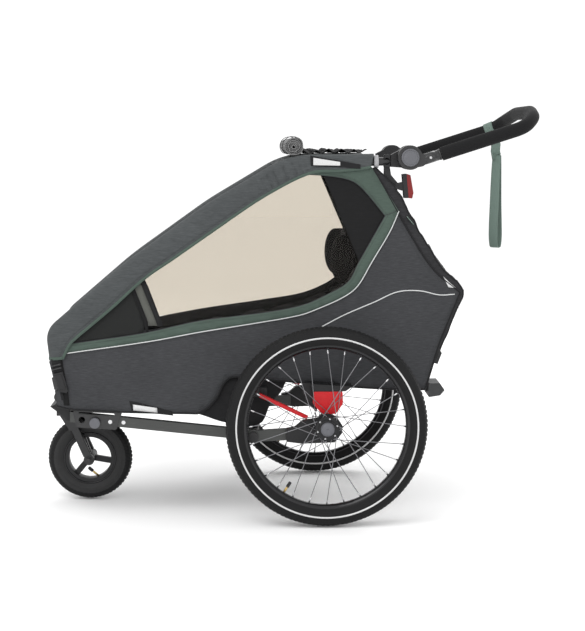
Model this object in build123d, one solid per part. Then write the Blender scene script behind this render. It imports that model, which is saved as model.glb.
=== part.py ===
from build123d import *
from math import cos, radians, sin, sqrt
import os

# Child bicycle trailer with two spoked wheels, one caster wheel and a folding frame.
# Millimetres. +Z up, ground at Z = 0, +Y towards the rear, +X towards the trailer's left side.
# The origin is on the ground, under the middle of the trailer's box.
# Places in side view are written as (y, z), with y counted from the rear axle line.

# ---- Driving dimensions ----
WHEEL_R = 250.0  # rear wheel, 20 x 1.75 inch tyre
WHEEL_X = 310.0  # middle plane of a rear wheel
TYRE_HALF = 23.5
CASTER_R = 112.5  # front wheel
CASTER_TYRE_HALF = 24.0
CASTER_Y = -611.5  # front wheel's axle
SWIVEL_Y = -671.0  # caster's upright swivel axis
GRIP_R = 17.0
CROSSBAR_Y = 527.0  # handlebar's rearmost stretch
CROSSBAR_Z = 1021.0
SPOKES = 28
HOOD_X = 226.0  # outer face of the hood's side flap
SHEET = 4.0  # thickness of the fabric stand-ins
PANEL_X = HOOD_X - 2 * SHEET - 1  # inner face of a side panel
HOOP_X = 205.0  # roof hoop's tube
HOOP_R = 10.5
REAR_FRAME_X = 178.0
STAY_X = 200.0
TUBE_R = 10.0
RAIL_IN = 186.0
RAIL_OUT = 206.0
RAIL_WALL = 2.0
ARM_IN = 238.0
ARM_OUT = 250.0
CARRIER_OUT = 270.0
RUN = 0.05  # radial clearance of a running fit

# ---- Joint axes in side view ----
AXLE = (0.0, WHEEL_R)
ARM_PIVOT = (-180.0, 214.0)
HOOP_PIVOT = (-665.0, 310.0)
REAR_PIVOT = (20.0, 374.0)
HANDLE_PIVOT = (205.0, 907.0)
LIGHT_PIVOT = (178.0, 836.0)
PEDAL_PIVOT = (268.0, 306.0)

# The rear axle line lies where the front tyre and the handlebar reach equally far from the origin.
AXLE_Y = (CASTER_R - CASTER_Y - CROSSBAR_Y - GRIP_R) / 2

os.makedirs("parts", exist_ok=True)
BIG = 400.0
SIDES = {"left": 1, "right": -1}


def save(name, *solids):
    export_step(Compound(children=list(solids)), f"parts/{name}.step")


def at(y, z, x=0.0):
    return Vector(x, AXLE_Y + y, z)


def face(points, radii=None):
    """A flat outline in side view; radii rounds its corners, one value each."""
    corners = [(AXLE_Y + y, z) for y, z in points]
    line = Polyline(*corners, close=True)
    if radii:
        line = FilletPolyline(*corners, radius=radii, close=True)
    return Plane.YZ * make_face(line)


def slab(outline, low, high):
    """An outline in side view, as a slab from x = low to x = high."""
    return Pos(low, 0, 0) * extrude(outline, high - low, dir=(1, 0, 0))


def plate(points, low, high, radii=None):
    return slab(face(points, radii), low, high)


def disc(centre, r, low, high):
    """A round bar along X."""
    y, z = centre
    return Pos((low + high) / 2, AXLE_Y + y, z) * Rot(0, 90, 0) * Cylinder(r, high - low)


def ring(centre, r_out, r_in, low, high):
    return disc(centre, r_out, low, high) - disc(centre, r_in, low - 1, high + 1)


def post(y, r, z_low, z_high, x=0.0):
    """A round bar along Z."""
    return Pos(x, AXLE_Y + y, (z_low + z_high) / 2) * Cylinder(r, z_high - z_low)


def pipe(path, r_out, r_in=0.0):
    start = Plane(path @ 0, z_dir=path % 0)
    solid = sweep(start * Circle(r_out), path)
    if r_in:
        solid -= sweep(start * Circle(r_in), path)
    return solid


def side_path(points, radii, x):
    """A line in the upright plane at x; radii rounds its inner corners, one value each."""
    places = [at(y, z, x) for y, z in points]
    return FilletPolyline(*places, radius=radii) if radii else Line(*places)


def turned(profile, centre, x=0.0):
    """A profile of (x, radius) corners turned about a side-view axis."""
    y, z = centre
    flat = Pos(x, AXLE_Y + y, z) * Plane.XY * profile
    return revolve(flat, Axis((0, AXLE_Y + y, z), (1, 0, 0)))


def flip(solid):
    return mirror(solid, about=Plane.YZ)


def pair(solid):
    return solid, flip(solid)


def sided(solid, side):
    return solid if SIDES[side] > 0 else flip(solid)


# ---- Chassis ----
RAIL_SLOPE = -0.1073  # the rails fall towards the rear
RAIL_HALF = 13.0


def rail_z(y):
    return 244.0 + RAIL_SLOPE * (y + 511)


FRONT_TUBE = (-605.0, rail_z(-605))
REAR_TUBE = (222.0, 348.0)
PIVOT_TUBE_R = 15.0
FRONT_TUBE_R = 12.0
HITCH_HOLE = (-610.0, 251.0)
HITCH_HOLE_R = 8.0
KNOB = (-577.0, 244.0)
KNOB_SHAFT_R = 4.0
PLATE_OUT = RAIL_OUT + 4


def rails():
    ends = (-640.0, -168.0)
    outline = [(y, rail_z(y) + h) for y, h in zip(ends, (-RAIL_HALF, -RAIL_HALF))]
    outline += [(y, rail_z(y) + RAIL_HALF) for y in reversed(ends)]
    inner_half = RAIL_HALF - RAIL_WALL
    inner = [(-650.0, rail_z(-650) - inner_half), (-160.0, rail_z(-160) - inner_half)]
    inner += [(-160.0, rail_z(-160) + inner_half), (-650.0, rail_z(-650) + inner_half)]
    rail = plate(outline, RAIL_IN, RAIL_OUT)
    rail -= plate(inner, RAIL_IN + RAIL_WALL, RAIL_OUT - RAIL_WALL)
    rail -= disc(ARM_PIVOT, PIVOT_TUBE_R, 0, BIG)
    rail -= disc(HITCH_HOLE, HITCH_HOLE_R + 0.5, 0, BIG)
    left = rail - disc(KNOB, KNOB_SHAFT_R + 0.3, 0, BIG)
    return left, flip(rail)


def cross_tubes():
    front = ring(FRONT_TUBE, FRONT_TUBE_R, FRONT_TUBE_R - 2, -RAIL_IN, RAIL_IN)
    pivot_half = 222.0
    pivot = ring(ARM_PIVOT, PIVOT_TUBE_R, PIVOT_TUBE_R - 2, -pivot_half, pivot_half)
    rear = ring(REAR_TUBE, TUBE_R, TUBE_R - 1.5, -STAY_X + TUBE_R, STAY_X - TUBE_R)
    return front, pivot, rear


def rear_stay():
    stay = pipe(side_path(STAY, STAY_RADII, STAY_X), TUBE_R, TUBE_R - 1.5)
    return stay - disc(ARM_PIVOT, PIVOT_TUBE_R, 0, BIG)


BUMPER = [(-692, 281), (-679, 286), (-650, 272), (-652, 250)]
HOUSING_R = 20.0
STEM_R = 8.0
HOUSING_LOW = 249.0


def caster_bracket():
    """Boss for the caster's stem, with a saddle that reaches back to the front cross tube."""
    saddle = plate([(-662, 250), (-662, 266), (-605, 272), (-590, 266), (-590, 247)], -26, 26)
    saddle -= disc(FRONT_TUBE, FRONT_TUBE_R, -BIG, BIG)
    body = saddle + post(SWIVEL_Y, HOUSING_R, HOUSING_LOW, 290)
    return body - post(SWIVEL_Y, STEM_R + RUN, 240, 300)


def front_bumper():
    bar = plate(BUMPER, -RAIL_IN, RAIL_IN)
    bar -= post(SWIVEL_Y, HOUSING_R + 0.5, 200, 320)
    return bar - Pos(0, AXLE_Y - 640, 260) * Box(53, 60, 40)


HOOP_EAR = (RAIL_IN + 0.5, RAIL_IN + 8)
PIN_R = 5.0


def hoop_bracket():
    """Ear that carries the roof hoop's pivot pin, welded to the rail's front end."""
    low, high = HOOP_EAR
    points = [(-679, 322), (-651, 322), (-640.5, 284), (-640.5, 246), (-650, 246), (-668, 266)]
    return plate(points, low, high) - disc(HOOP_PIVOT, PIN_R, 0, BIG)


def hoop_pin():
    low, high = HOOP_EAR
    head = disc(HOOP_PIVOT, 9, HOOP_X + 10.8, PANEL_X - 0.3)
    return disc(HOOP_PIVOT, PIN_R, low, HOOP_X + 10.8) + head


ARM_PIN_R = 8.0


def arm_pin():
    plug = disc(ARM_PIVOT, PIVOT_TUBE_R - 2, 190, 222)
    return plug + disc(ARM_PIVOT, ARM_PIN_R, 222, 253) + disc(ARM_PIVOT, 13, 252.5, 257)


def rear_frame_pin():
    """Pin and lug that carry the rear frame on the rear stay."""
    lug = plate([(6, 364), (6, 388), (34, 388), (34, 364)], 189, 198)
    lug -= stay_solid(TUBE_R)
    return lug + disc(REAR_PIVOT, PIN_R, 166, 190) + disc(REAR_PIVOT, 9, 163, 167)


STAY = [(-190, 240), (-158, 295), (-130, 366), (60, 362), REAR_TUBE]
STAY_RADII = [60, 35, 160]


def stay_solid(r):
    return pipe(side_path(STAY, STAY_RADII, STAY_X), r)


def spring_seat():
    """Bracket under the rear stay that the rubber spring bears on, and the leaf spring's lug."""
    seat = plate([(-36.4, 349.6), (65, 343), (48, 331), (-34, 331)], STAY_X + 4, CARRIER_OUT - 1)
    seat += plate([(-30, 345), (50, 342), (46, 356), (-26, 356)], STAY_X + 4, PANEL_X - 0.5)
    # The side panel's lower edge stands in a slot.
    slot = [(-60, 345.2), (60, 334.5), (80, 333.2), (80, 400), (-60, 400)]
    seat -= plate(slot, PANEL_X - 0.5, PANEL_X + SHEET + 0.5)
    lug_in = 240.0
    lug = plate([(-196, 318), (-166, 318), (-166, 338), (-196, 338)], lug_in, 266)
    lug += plate([(-196, 318), (-146, 316), (-146, 336), (-196, 338)], STAY_X + 4, lug_in)
    stay = stay_solid(TUBE_R)
    return seat - stay, lug - stay


def brake_bracket():
    """Notched black plate beside the rubber spring, with the brake cable's stop."""
    points = [(-58, 350), (-37, 349), (-33, 316), (-21, 286), (-22, 276), (-34, 286)]
    points += [(-45, 305), (-51, 306), (-51, 318), (-57, 322)]
    return plate(points, 239, 249.5)


def hitch_plate():
    outline = face([(-633, 274), (-508.5, 271.5), (-524, 225), (-623.5, 232)], [4, 4, 6, 6])
    body = slab(outline, RAIL_OUT, PLATE_OUT)
    body -= disc(HITCH_HOLE, HITCH_HOLE_R, 0, BIG)
    body -= disc(KNOB, KNOB_SHAFT_R + RUN, 0, BIG)
    slot_half, slot_r = 42.0, 2.8
    mid = (-573.0, 266.4)
    slope = -0.055
    ends = [(mid[0] + s * slot_half, mid[1] + s * slot_half * slope) for s in (-1, 1)]
    (y0, z0), (y1, z1) = ends
    body -= plate([(y0, z0 - slot_r), (y1, z1 - slot_r), (y1, z1 + slot_r), (y0, z0 + slot_r)], 0, BIG)
    for end in ends:
        body -= disc(end, slot_r, 0, BIG)
    return body


def screws():
    made = [disc((-539, 246), 5, PLATE_OUT, PLATE_OUT + 2.5)]
    for sign in (1, -1):
        screw = disc((-506, rail_z(-506)), 5, RAIL_OUT, RAIL_OUT + 2.5)
        made.append(screw if sign > 0 else flip(screw))
        hinge = disc((-205, rail_z(-205)), 5, RAIL_OUT, RAIL_OUT + 2.5)
        made.append(hinge if sign > 0 else flip(hinge))
    return made


def pedal_bracket():
    """Two cheeks from the rear cross tube down to the brake pedal's pin."""
    low, high = 18.0, 24.0
    points = [(214, 352), (232, 356), (279, 312), (277, 296), (260, 298)]
    cheek = plate(points, low, high) - disc(REAR_TUBE, TUBE_R, 0, BIG)
    left, right = pair(cheek)
    return left + right + disc(PEDAL_PIVOT, PIN_R, -low - 2, low + 2)


# ---- Cabin ----
ROOF = [(-696, 478), (-510, 638), (-301, 788), (-93, 912.3)]
ROOF_RADII = [70, 900, 900, 220]
ROOF_SLOPE = 0.014
HOOD_REAR = 118.0


def roof_z(y):
    return ROOF[-1][1] + ROOF_SLOPE * (y - ROOF[-1][0])


def under_roof(inset=0.0):
    """Everything below the roof line in side view, far beyond the cabin, pulled in by inset."""
    rear, low = 600.0, 60.0
    points = [(-695, low), *ROOF, (rear, roof_z(rear)), (rear, low)]
    radii = [1, *ROOF_RADII, 1, 1]
    region = face(points, radii)
    return offset(region, -inset) if inset else region


BINDING = [(-654, 406), (-630, 450), (-531, 535), (-379, 657), (-118, 832), (-62, 863)]
BINDING += [(-20, 873), (45, 873), (104, 882)]


FRONT_SILL = 442.0
FRONT_OPEN_X = 176.0
ROOF_FROM = -128.0


def hood():
    """Roof, side flaps and the sleeves over the front hoop tubes in one skin. The front is open."""
    skirt = [(-740, 400), *BINDING, (HOOD_REAR, 886), (HOOD_REAR, 960), (-740, 960)]
    flap = under_roof() & face(skirt)
    top = flap - under_roof(SHEET)
    inner = HOOD_X - SHEET
    skin = slab(top, -inner, inner) + slab(flap, inner, HOOD_X) + slab(flap, -HOOD_X, -inner)
    front = [(-760, FRONT_SILL), (-640, FRONT_SILL), (ROOF_FROM, 800), (ROOF_FROM, 960), (-760, 960)]
    return skin - plate(front, -FRONT_OPEN_X, FRONT_OPEN_X)


PANEL = [(-671, 292), (-636, 284), (-509, 275.5), (-320, 269), (-295, 282), (-269, 313)]
PANEL += [(-254, 344), (-233, 360), (-135, 352.5), (60, 335), (177, 328), (251, 327)]
PANEL += [(259, 351), (286, 442), (310, 504), (337, 572), (269, 630), (208, 721), (115, 878)]
PANEL += [(108, 960), (-740, 960), (-740, 400), (-684, 384), (-673, 330)]
WINDOW = [(-634, 446), (-568, 455), (-452, 472.5), (-312, 503), (-148, 524), (-56, 542)]
WINDOW += [(1, 567), (55, 599), (78, 647), (146, 763), (84, 835), (54, 852), (-14, 862)]
WINDOW += [(-62, 862), (-124, 838), (-300, 720), (-538, 541), (-612, 478)]


def side_panel():
    shape = (face(PANEL) & under_roof(SHEET + 1)) - face(WINDOW)
    panel = slab(shape, PANEL_X, PANEL_X + SHEET)
    # The roof hoop leaves the cabin through the panel's upper rear corner.
    return panel - disc((130, 900), 26, 0, BIG)


def window():
    return slab(face(WINDOW), PANEL_X + 1.2, PANEL_X + 2.8)


TUB = [(-638, 330), (-638, 292), (-628, 286), (-509, 277.5), (-381, 272), (-322, 264)]
TUB += [(-250, 240), (-164, 235), (-135, 287), (-110, 318), (-99, 345), (60, 335)]
TUB += [(177, 330), (227, 329)]
TUB_X = PANEL_X - 1.5
SEAT_DECK = 352.0
DECK_X = 187.0


def floor_tub():
    """Fabric floor with its deep pan under the seat, upturned sides and the deck under the seat."""
    rim = [(227, 344), (-90, 369), (-240, 372), (-280, 330)]
    skin = 3.0
    lifted = [(y, z + skin) for y, z in TUB[2:-1]]
    front = TUB[0][0] + skin
    inside = [(front, 400), (front, 294), *lifted, (240, 332), (240, 400)]
    pan = plate(TUB + rim, -TUB_X, TUB_X) - plate(inside, -TUB_X + skin, TUB_X - skin)
    pan -= disc(ARM_PIVOT, PIVOT_TUBE_R + 2, -BIG, BIG)
    # Openings for the stay and for the brackets that reach out from it.
    holes = stay_solid(TUBE_R + 1.5)
    holes += plate([(-42, 325), (72, 325), (72, 380), (-42, 380)], STAY_X + 3, TUB_X + 1)
    holes += plate([(-200, 312), (-142, 312), (-142, 342), (-200, 342)], STAY_X + 3, TUB_X + 1)
    deck = plate([(-330, 348), (-104, 348), (-104, SEAT_DECK), (-330, SEAT_DECK)], -DECK_X, DECK_X)
    return pan - holes - flip(holes), deck


COVER = [(122, 878), (150, 856), (190, 800), (225, 735), (262, 675), (300, 622), (335, 584)]
COVER += [(346, 566), (318, 504), (294, 442), (270, 362)]


def back_cover():
    skin = 5.0
    inner = [(y - skin, z - skin) for y, z in COVER[:6]]
    inner += [(328, 581), (339, 566), (312, 505), (288, 443), (264, 362)]
    return plate(COVER + inner[::-1], -PANEL_X, PANEL_X)


def seat_cushion():
    points = [(-325, SEAT_DECK), (-20, SEAT_DECK), (-10, 372), (-12, 392), (-325, 396)]
    return plate(points, -160, 160)


def front_buckle():
    points = [(-680, 392), (-657, 392), (-643, 338), (-648, 328), (-664, 328)]
    return plate(points, HOOD_X - SHEET, HOOD_X + 5)


# ---- Suspension ----
def trailing_arm():
    arm = plate([(-182, 201), (-72, 206), (-72, 236), (-182, 229)], ARM_IN, ARM_OUT)
    arm += disc(ARM_PIVOT, 18, 223, ARM_OUT)
    return arm - disc(ARM_PIVOT, ARM_PIN_R + RUN, 200, 300)


WHEEL_PIN_R = 8.0
CARRIER = [(-98, 205), (-98, 237), (-77, 241), (-57, 258), (-37, 260), (-20, 263)]
CARRIER += [(-12, 273), (13, 273), (28, 264), (41, 244), (40, 226), (22, 203), (-60, 200)]


def hub_carrier():
    """Dropout block on the arm's end, with the wheel's pin fixed in it."""
    block = plate(CARRIER, ARM_OUT, CARRIER_OUT)
    block += disc(AXLE, 14, CARRIER_OUT, 278)
    return block + disc(AXLE, WHEEL_PIN_R, 278, 334)


def rubber_spring():
    points = [(-10, 274.5), (24, 274.5), (42, 300), (41, 330.5), (-31, 330.5), (-33, 300)]
    return plate(points, 251, 269, [2, 2, 14, 4, 4, 14])


def leaf_spring():
    """Flat bar from the lug on the chassis down to the carrier."""
    half = 4.5
    y0, z0, y1, z1 = -176.0, 326.5, -46.0, 264.0
    length = sqrt((y1 - y0) ** 2 + (z1 - z0) ** 2)
    ny, nz = -(z1 - z0) / length * half, (y1 - y0) / length * half
    points = [(y0 - ny, z0 - nz), (y1 - ny, z1 - nz), (y1 + ny, z1 + nz), (y0 + ny, z0 + nz)]
    lug = plate([(-197, 317), (-165, 317), (-165, 339), (-197, 339)], STAY_X, 300)
    return plate(points, 252, 265) - lug


# ---- Rear wheels ----
RIM_IN, RIM_OUT, RIM_HALF = 194.0, 204.0, 12.5
FLANGE_R, FLANGE_X = 29.0, 24.0
HUB_R = 16.0
SPOKE_R = 1.0
SPOKE_LEAN = 48.0  # degrees between a spoke's two ends


def tyre(seat, half_seat, half, r_out, wall):
    """Tyre carcass: an arched section that opens onto the rim, turned about the axle."""
    rise = r_out - seat

    def arch(side, top, foot):
        points = [(-foot, seat), (-side * 0.97, seat + rise * 0.32), (-side * 0.9, seat + rise * 0.7)]
        points += [(0, seat + top)]
        points += [(-x, r) for x, r in reversed(points[:-1])]
        return Spline(*points)

    outer = arch(half, rise, half_seat)
    inner = arch(half - wall, rise - wall * 1.3, half_seat - wall)
    left_foot = Line(outer @ 0, inner @ 0)
    right_foot = Line(outer @ 1, inner @ 1)
    return make_face([outer, inner, left_foot, right_foot])


def rear_tyre():
    return turned(tyre(RIM_OUT, 12.0, TYRE_HALF, WHEEL_R, 3.5), AXLE, WHEEL_X)


def rear_rim():
    profile = Polyline(
        (-RIM_HALF, RIM_OUT),
        (RIM_HALF, RIM_OUT),
        (RIM_HALF, RIM_OUT - 4),
        (6, RIM_IN),
        (-6, RIM_IN),
        (-RIM_HALF, RIM_OUT - 4),
        close=True,
    )
    return turned(make_face(profile), AXLE, WHEEL_X)


def rear_hub():
    shell = disc(AXLE, HUB_R, WHEEL_X - 28, WHEEL_X + 24)
    for side in (-1, 1):
        middle = WHEEL_X + side * FLANGE_X
        shell += disc(AXLE, FLANGE_R, middle - 2, middle + 2)
    shell += ring(AXLE, 21, 17.4, WHEEL_X + 26, WHEEL_X + 34)
    shell -= disc(AXLE, WHEEL_PIN_R + RUN, WHEEL_X - 40, WHEEL_X + 25.2)
    return shell - disc(AXLE, 17.4, WHEEL_X + 25.2, WHEEL_X + 40)


def rear_spokes():
    made = []
    for i in range(SPOKES):
        rim_turn = 360 * i / SPOKES
        side = 1 if i % 2 else -1
        lean = SPOKE_LEAN if i % 4 < 2 else -SPOKE_LEAN
        a, b = radians(rim_turn + lean), radians(rim_turn)
        r0, r1 = FLANGE_R + 1.4, RIM_IN - 0.6
        x0 = WHEEL_X + side * FLANGE_X
        start = at(r0 * cos(a), WHEEL_R + r0 * sin(a), x0)
        end = at(r1 * cos(b), WHEEL_R + r1 * sin(b), WHEEL_X + side * 3)
        run = end - start
        made.append(Plane(start, z_dir=run) * extrude(Circle(SPOKE_R), run.length))
    return made


def axle_button():
    return disc(AXLE, 17, WHEEL_X + 28.5, WHEEL_X + 36)


# ---- Caster ----
LEG_X = 38.0
LEG_R = 11.0
CASTER_AXLE = (CASTER_Y, CASTER_R)
CASTER_AXLE_R = 5.0


def caster_fork():
    """Crown with two slanting legs and the upright stem."""
    crown = plate([(-694, 231), (-694, 245), (-664, 245), (-648, 231)], -45, 45)
    stem = post(SWIVEL_Y, STEM_R, 240, 284) + post(SWIVEL_Y, 14, 244, HOUSING_LOW - 0.4)
    fork = crown + stem
    shoulder = plate([(-694, 245), (-664, 245), (-634, 202), (-660, 191)], LEG_X - 7, LEG_X + 9)
    leg = pipe(Line(at(-650, 203, LEG_X), at(-616, 124, LEG_X)), LEG_R, 0)
    leg &= Pos(LEG_X, AXLE_Y - 640, 160) * Box(13, 200, 200)
    eye = disc(CASTER_AXLE, 14, LEG_X - 6, LEG_X + 6)
    half = shoulder + leg + eye
    fork += half
    fork += flip(half)
    return fork - disc(CASTER_AXLE, CASTER_AXLE_R, -BIG, BIG)


def front_axle():
    rod = disc(CASTER_AXLE, CASTER_AXLE_R, -LEG_X - 12, LEG_X + 12)
    for side in (-1, 1):
        low, high = sorted((side * (LEG_X + 6), side * (LEG_X + 11)))
        rod += disc(CASTER_AXLE, 8.5, low, high)
    return rod


CASTER_RIM_R = 66.0


def front_tyre():
    return turned(tyre(CASTER_RIM_R, 16.0, CASTER_TYRE_HALF, CASTER_R, 4.0), CASTER_AXLE)


def front_rim():
    """Moulded rim with three ribbed spokes and a hub."""
    rim = ring(CASTER_AXLE, CASTER_RIM_R, 56, -17, 17)
    hub_half = LEG_X - 7.0
    rim += disc(CASTER_AXLE, 14, -hub_half, hub_half)
    for turn in (110, 230, 350):
        spoke = Box(12, 46, 15)
        spoke = Pos(0, 35, 0) * spoke
        rim += Pos(0, AXLE_Y + CASTER_Y, CASTER_R) * Rot(turn, 0, 0) * spoke
    return rim - disc(CASTER_AXLE, CASTER_AXLE_R + RUN, -BIG, BIG)


# ---- Folding frame ----
HOOP = [HOOP_PIVOT, (-677, 462), (-505, 615), (-292, 766), (-92, 889), (190, 899)]
HOOP_RADII = [70, 900, 900, 200]
COLLAR_R = 15.5
COLLAR_Y = 119.0
COLLAR_LONG = 11.0


def hoop_solid():
    return pipe(side_path(HOOP, HOOP_RADII, HOOP_X), HOOP_R)


def hoop_tube():
    tube = pipe(side_path(HOOP, HOOP_RADII, HOOP_X), HOOP_R, HOOP_R - 1.5)
    low, high = HOOP_EAR[1] + 0.4, HOOP_X + HOOP_R
    boss = disc(HOOP_PIVOT, 13, low, high)
    return (tube + boss) - disc(HOOP_PIVOT, PIN_R + RUN, 150, 300)


HOOP_CROSS = [(-672, 400), (150, 897.6)]


def hoop_crosses():
    half = HOOP_X - HOOP_R + 1.0
    made = []
    tube = hoop_solid()
    for place in HOOP_CROSS:
        bar = disc(place, 7.5, -half, half)
        made.append(bar - tube - flip(tube))
    return made


DISC_R = 30.0
HINGE_SPLIT = 222.0
HINGE_OUT = 248.0
HINGE_PIN_R = 6.0


def hinge_housing():
    """Fixed half of the handlebar hinge, clamped on the hoop's end, with the hinge pin."""
    low = HOOP_X - 14.0
    socket = plate([(160, 884), (160, 913.5), (196, 932), (214, 880)], low, HINGE_SPLIT - 0.4)
    body = socket + disc(HANDLE_PIVOT, DISC_R, low, HINGE_SPLIT - 0.4)
    body -= hoop_solid()
    return body + disc(HANDLE_PIVOT, HINGE_PIN_R, HINGE_SPLIT - 1, 240)


def lock_collar():
    """Sliding lock on the hoop's straight end, round the tube."""
    (y0, z0), (y1, z1) = HOOP[-2:]
    run = Line(at(y0, z0, HOOP_X), at(y1, z1, HOOP_X))
    along = (COLLAR_Y - y0) / (y1 - y0)
    base = Plane(run @ along, z_dir=run % 0)
    collar = base * extrude(Circle(COLLAR_R), COLLAR_LONG)
    return collar - base * extrude(Circle(HOOP_R + RUN), COLLAR_LONG + 5, both=True)


ROLL = (-88.0, 935.5)
ROLL_R = 25.0


def cover_roll():
    """Rolled-up front cover on the roof, and the folded strip behind it."""
    roll = disc(ROLL, ROLL_R, -212, 212)
    strip = plate([(-58, 914.5), (104, 916.8), (104, 922.5), (-58, 921.5)], -200, 200)
    return roll, strip


REAR_FRAME = [REAR_PIVOT, (124, 560), (130, 700), (108, 862)]
REAR_FRAME_RADII = [150, 300]


def rear_frame():
    """Backrest frame: two bent side tubes, with a top tube and a lower tube welded between them."""
    path = side_path(REAR_FRAME, REAR_FRAME_RADII, REAR_FRAME_X)
    tube = pipe(path, TUBE_R, TUBE_R - 1.5)
    solid_tube = pipe(path, TUBE_R)
    boss = disc(REAR_PIVOT, 13, REAR_FRAME_X - 10.5, REAR_FRAME_X + 10.5)
    left = (tube + boss) - disc(REAR_PIVOT, PIN_R + RUN, 100, 300)
    bars = []
    for place in ((112, 838), (76, 474)):
        bar = disc(place, 7.5, -REAR_FRAME_X, REAR_FRAME_X)
        bars.append(bar - solid_tube - flip(solid_tube))
    return left, flip(left), *bars


PAD_REAR = [(2, 404), (92, 566), (97, 690), (76, 846)]
PAD_THICK = 24.0
PAD_X = 160.0
HEADREST = (36.0, 652.0)
WING_IN = 120.0


def shifted(points, dy):
    return [(y + dy, z) for y, z in points]


PAD_FRONT = shifted(PAD_REAR, -PAD_THICK)


def backrest_pad():
    """Upright pad, with an upright oval wing on each side of the child's head."""
    pad_outline = PAD_REAR + PAD_FRONT[::-1]
    y, z = HEADREST
    oval = Plane.YZ * Pos(AXLE_Y + y, z) * Ellipse(33, 72)
    wing = slab(oval, WING_IN, PAD_X - 2) - plate(pad_outline, -BIG, BIG)
    return plate(pad_outline, -PAD_X, PAD_X), *pair(wing)


def harness():
    """Two shoulder belts on the backrest and the central buckle."""
    belt = plate(PAD_FRONT + shifted(PAD_FRONT, -3)[::-1], 45, 83)
    belt &= plate([(-60, 430), (160, 430), (160, 830), (-60, 830)], -BIG, BIG)
    buckle = plate([(-24, 440), (0, 440), (0, 476), (-24, 476)], -26, 26)
    buckle -= plate(PAD_FRONT + shifted(PAD_FRONT, 60)[::-1], -BIG, BIG)
    return belt, flip(belt), buckle


# ---- Handlebar ----
ARM_X = 235.0
BAR_R = 12.0
SLEEVE = (240.0, 902.2)
SLEEVE_R = 13.0
GRIP_FROM = (283.0, 916.0)
BEND = (488.0, 981.8)
SHOULDER = (517.0, 1006.0, 190.0)  # y, z, x of the rounded corner towards the crossbar
CROSSBAR_X = 100.0


def handle_points(start):
    side = [at(*start, ARM_X), at(*BEND, ARM_X), at(*SHOULDER), at(CROSSBAR_Y, CROSSBAR_Z, CROSSBAR_X)]
    return side + [Vector(-p.X, p.Y, p.Z) for p in reversed(side)]


def handle_path(start):
    return FilletPolyline(*handle_points(start), radius=[48, 100, 200, 200, 100, 48])


def handlebar_tube():
    """Bent tube with a hinge half and an adaptor sleeve on each end."""
    start, bend = at(*SLEEVE, ARM_X), at(*BEND, ARM_X)
    along = (bend - start).normalized()
    sleeve = pipe(Line(start - along * 8, start + along * 43), SLEEVE_R)
    lug = plate([(199, 878), (237, 886), (246, 893), (240, 915), (222, 922)], HINGE_SPLIT, HINGE_OUT)
    half = disc(HANDLE_PIVOT, DISC_R, HINGE_SPLIT, HINGE_OUT) + lug + sleeve
    half -= disc(HANDLE_PIVOT, HINGE_PIN_R + RUN, 200, 241)
    half -= disc(HANDLE_PIVOT, 22.4, HINGE_OUT - 5.5, 300)
    bar = pipe(handle_path(SLEEVE), BAR_R)
    return (bar + half + flip(half)) - pipe(handle_path(GRIP_FROM), BAR_R - 1.5)


def grip_foam():
    return pipe(handle_path(GRIP_FROM), GRIP_R) - pipe(handle_path(SLEEVE), BAR_R)


def hinge_button():
    return disc(HANDLE_PIVOT, 22, HINGE_OUT - 2.5, HINGE_OUT + 4)


STRAP_AT = 207.0  # distance of the strap's eye along the handlebar from the grip's lower end
STRAP_LOW = 652.0
LOOP_TOP = 909.2
LOOP_Y = 500.0
LOOP_TURN = -28.0  # degrees that the hanging loop is turned about the vertical
WEBBING = 2.0
WEBBING_WIDTH = 26.0


def strap_eye(path):
    """Band of webbing round the left end of a handlebar path."""
    spot = path.position_at(STRAP_AT, PositionMode.LENGTH)
    way = path.tangent_at(STRAP_AT, PositionMode.LENGTH)
    band = Plane(origin=spot, z_dir=way) * Box(80, 80, WEBBING_WIDTH)
    return pipe(path, GRIP_R + 0.6 + WEBBING) & band


def wrist_strap():
    """Webbing eye round the handlebar's right arm, a sewn neck and a hanging hand loop."""
    path = handle_path(GRIP_FROM)
    half_loop = 17.0
    neck = [(474, 962), (498, 969), (LOOP_Y + 13, LOOP_TOP - 6), (LOOP_Y - 13, LOOP_TOP - 6)]
    loop_tall = LOOP_TOP - STRAP_LOW
    outside = RectangleRounded(2 * half_loop, loop_tall, half_loop - 1)
    inside = RectangleRounded(2 * (half_loop - WEBBING), loop_tall - 2 * WEBBING, half_loop - 3.5)
    side = Plane((0, WEBBING_WIDTH / 2, 0), x_dir=(1, 0, 0), z_dir=(0, -1, 0))
    loop = extrude(side * (outside - inside), WEBBING_WIDTH, dir=(0, -1, 0))
    loop = Pos(-ARM_X, AXLE_Y + LOOP_Y, (LOOP_TOP + STRAP_LOW) / 2) * Rot(0, 0, LOOP_TURN) * loop
    strap = loop + plate(neck, -ARM_X - WEBBING, -ARM_X + WEBBING) + flip(strap_eye(path))
    return strap - pipe(path, GRIP_R + 0.6)


# ---- Rear light ----
def light_clamp():
    """Band round the hoop's end with a hanging arm and the pin of the light's swivel."""
    band = plate([(144, 884), (144, 914), (158, 914), (158, 884)], HOOP_X - 14, HOOP_X + 14)
    neck = plate([(144, 862), (144, 886), (158, 886), (162, 862)], HOOP_X - 6, HOOP_X + 6)
    arm = plate([(146, 866), (160, 866), (184, 838), (176, 828), (168, 834)], HOOP_X - 5, HOOP_X + 5)
    clamp = band + neck + arm
    clamp -= hoop_solid()
    clamp -= disc(HOOP_CROSS[1], 8.5, 0, BIG)
    clamp = clamp + disc(LIGHT_PIVOT, 3, HOOP_X + 4, HOOP_X + 12)
    return clamp


LIGHT_BODY = [(189, 866), (199, 867), (205, 807), (194, 807)]
LENS = [(199, 867), (209, 864), (217, 820), (214, 806), (205, 807)]


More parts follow.
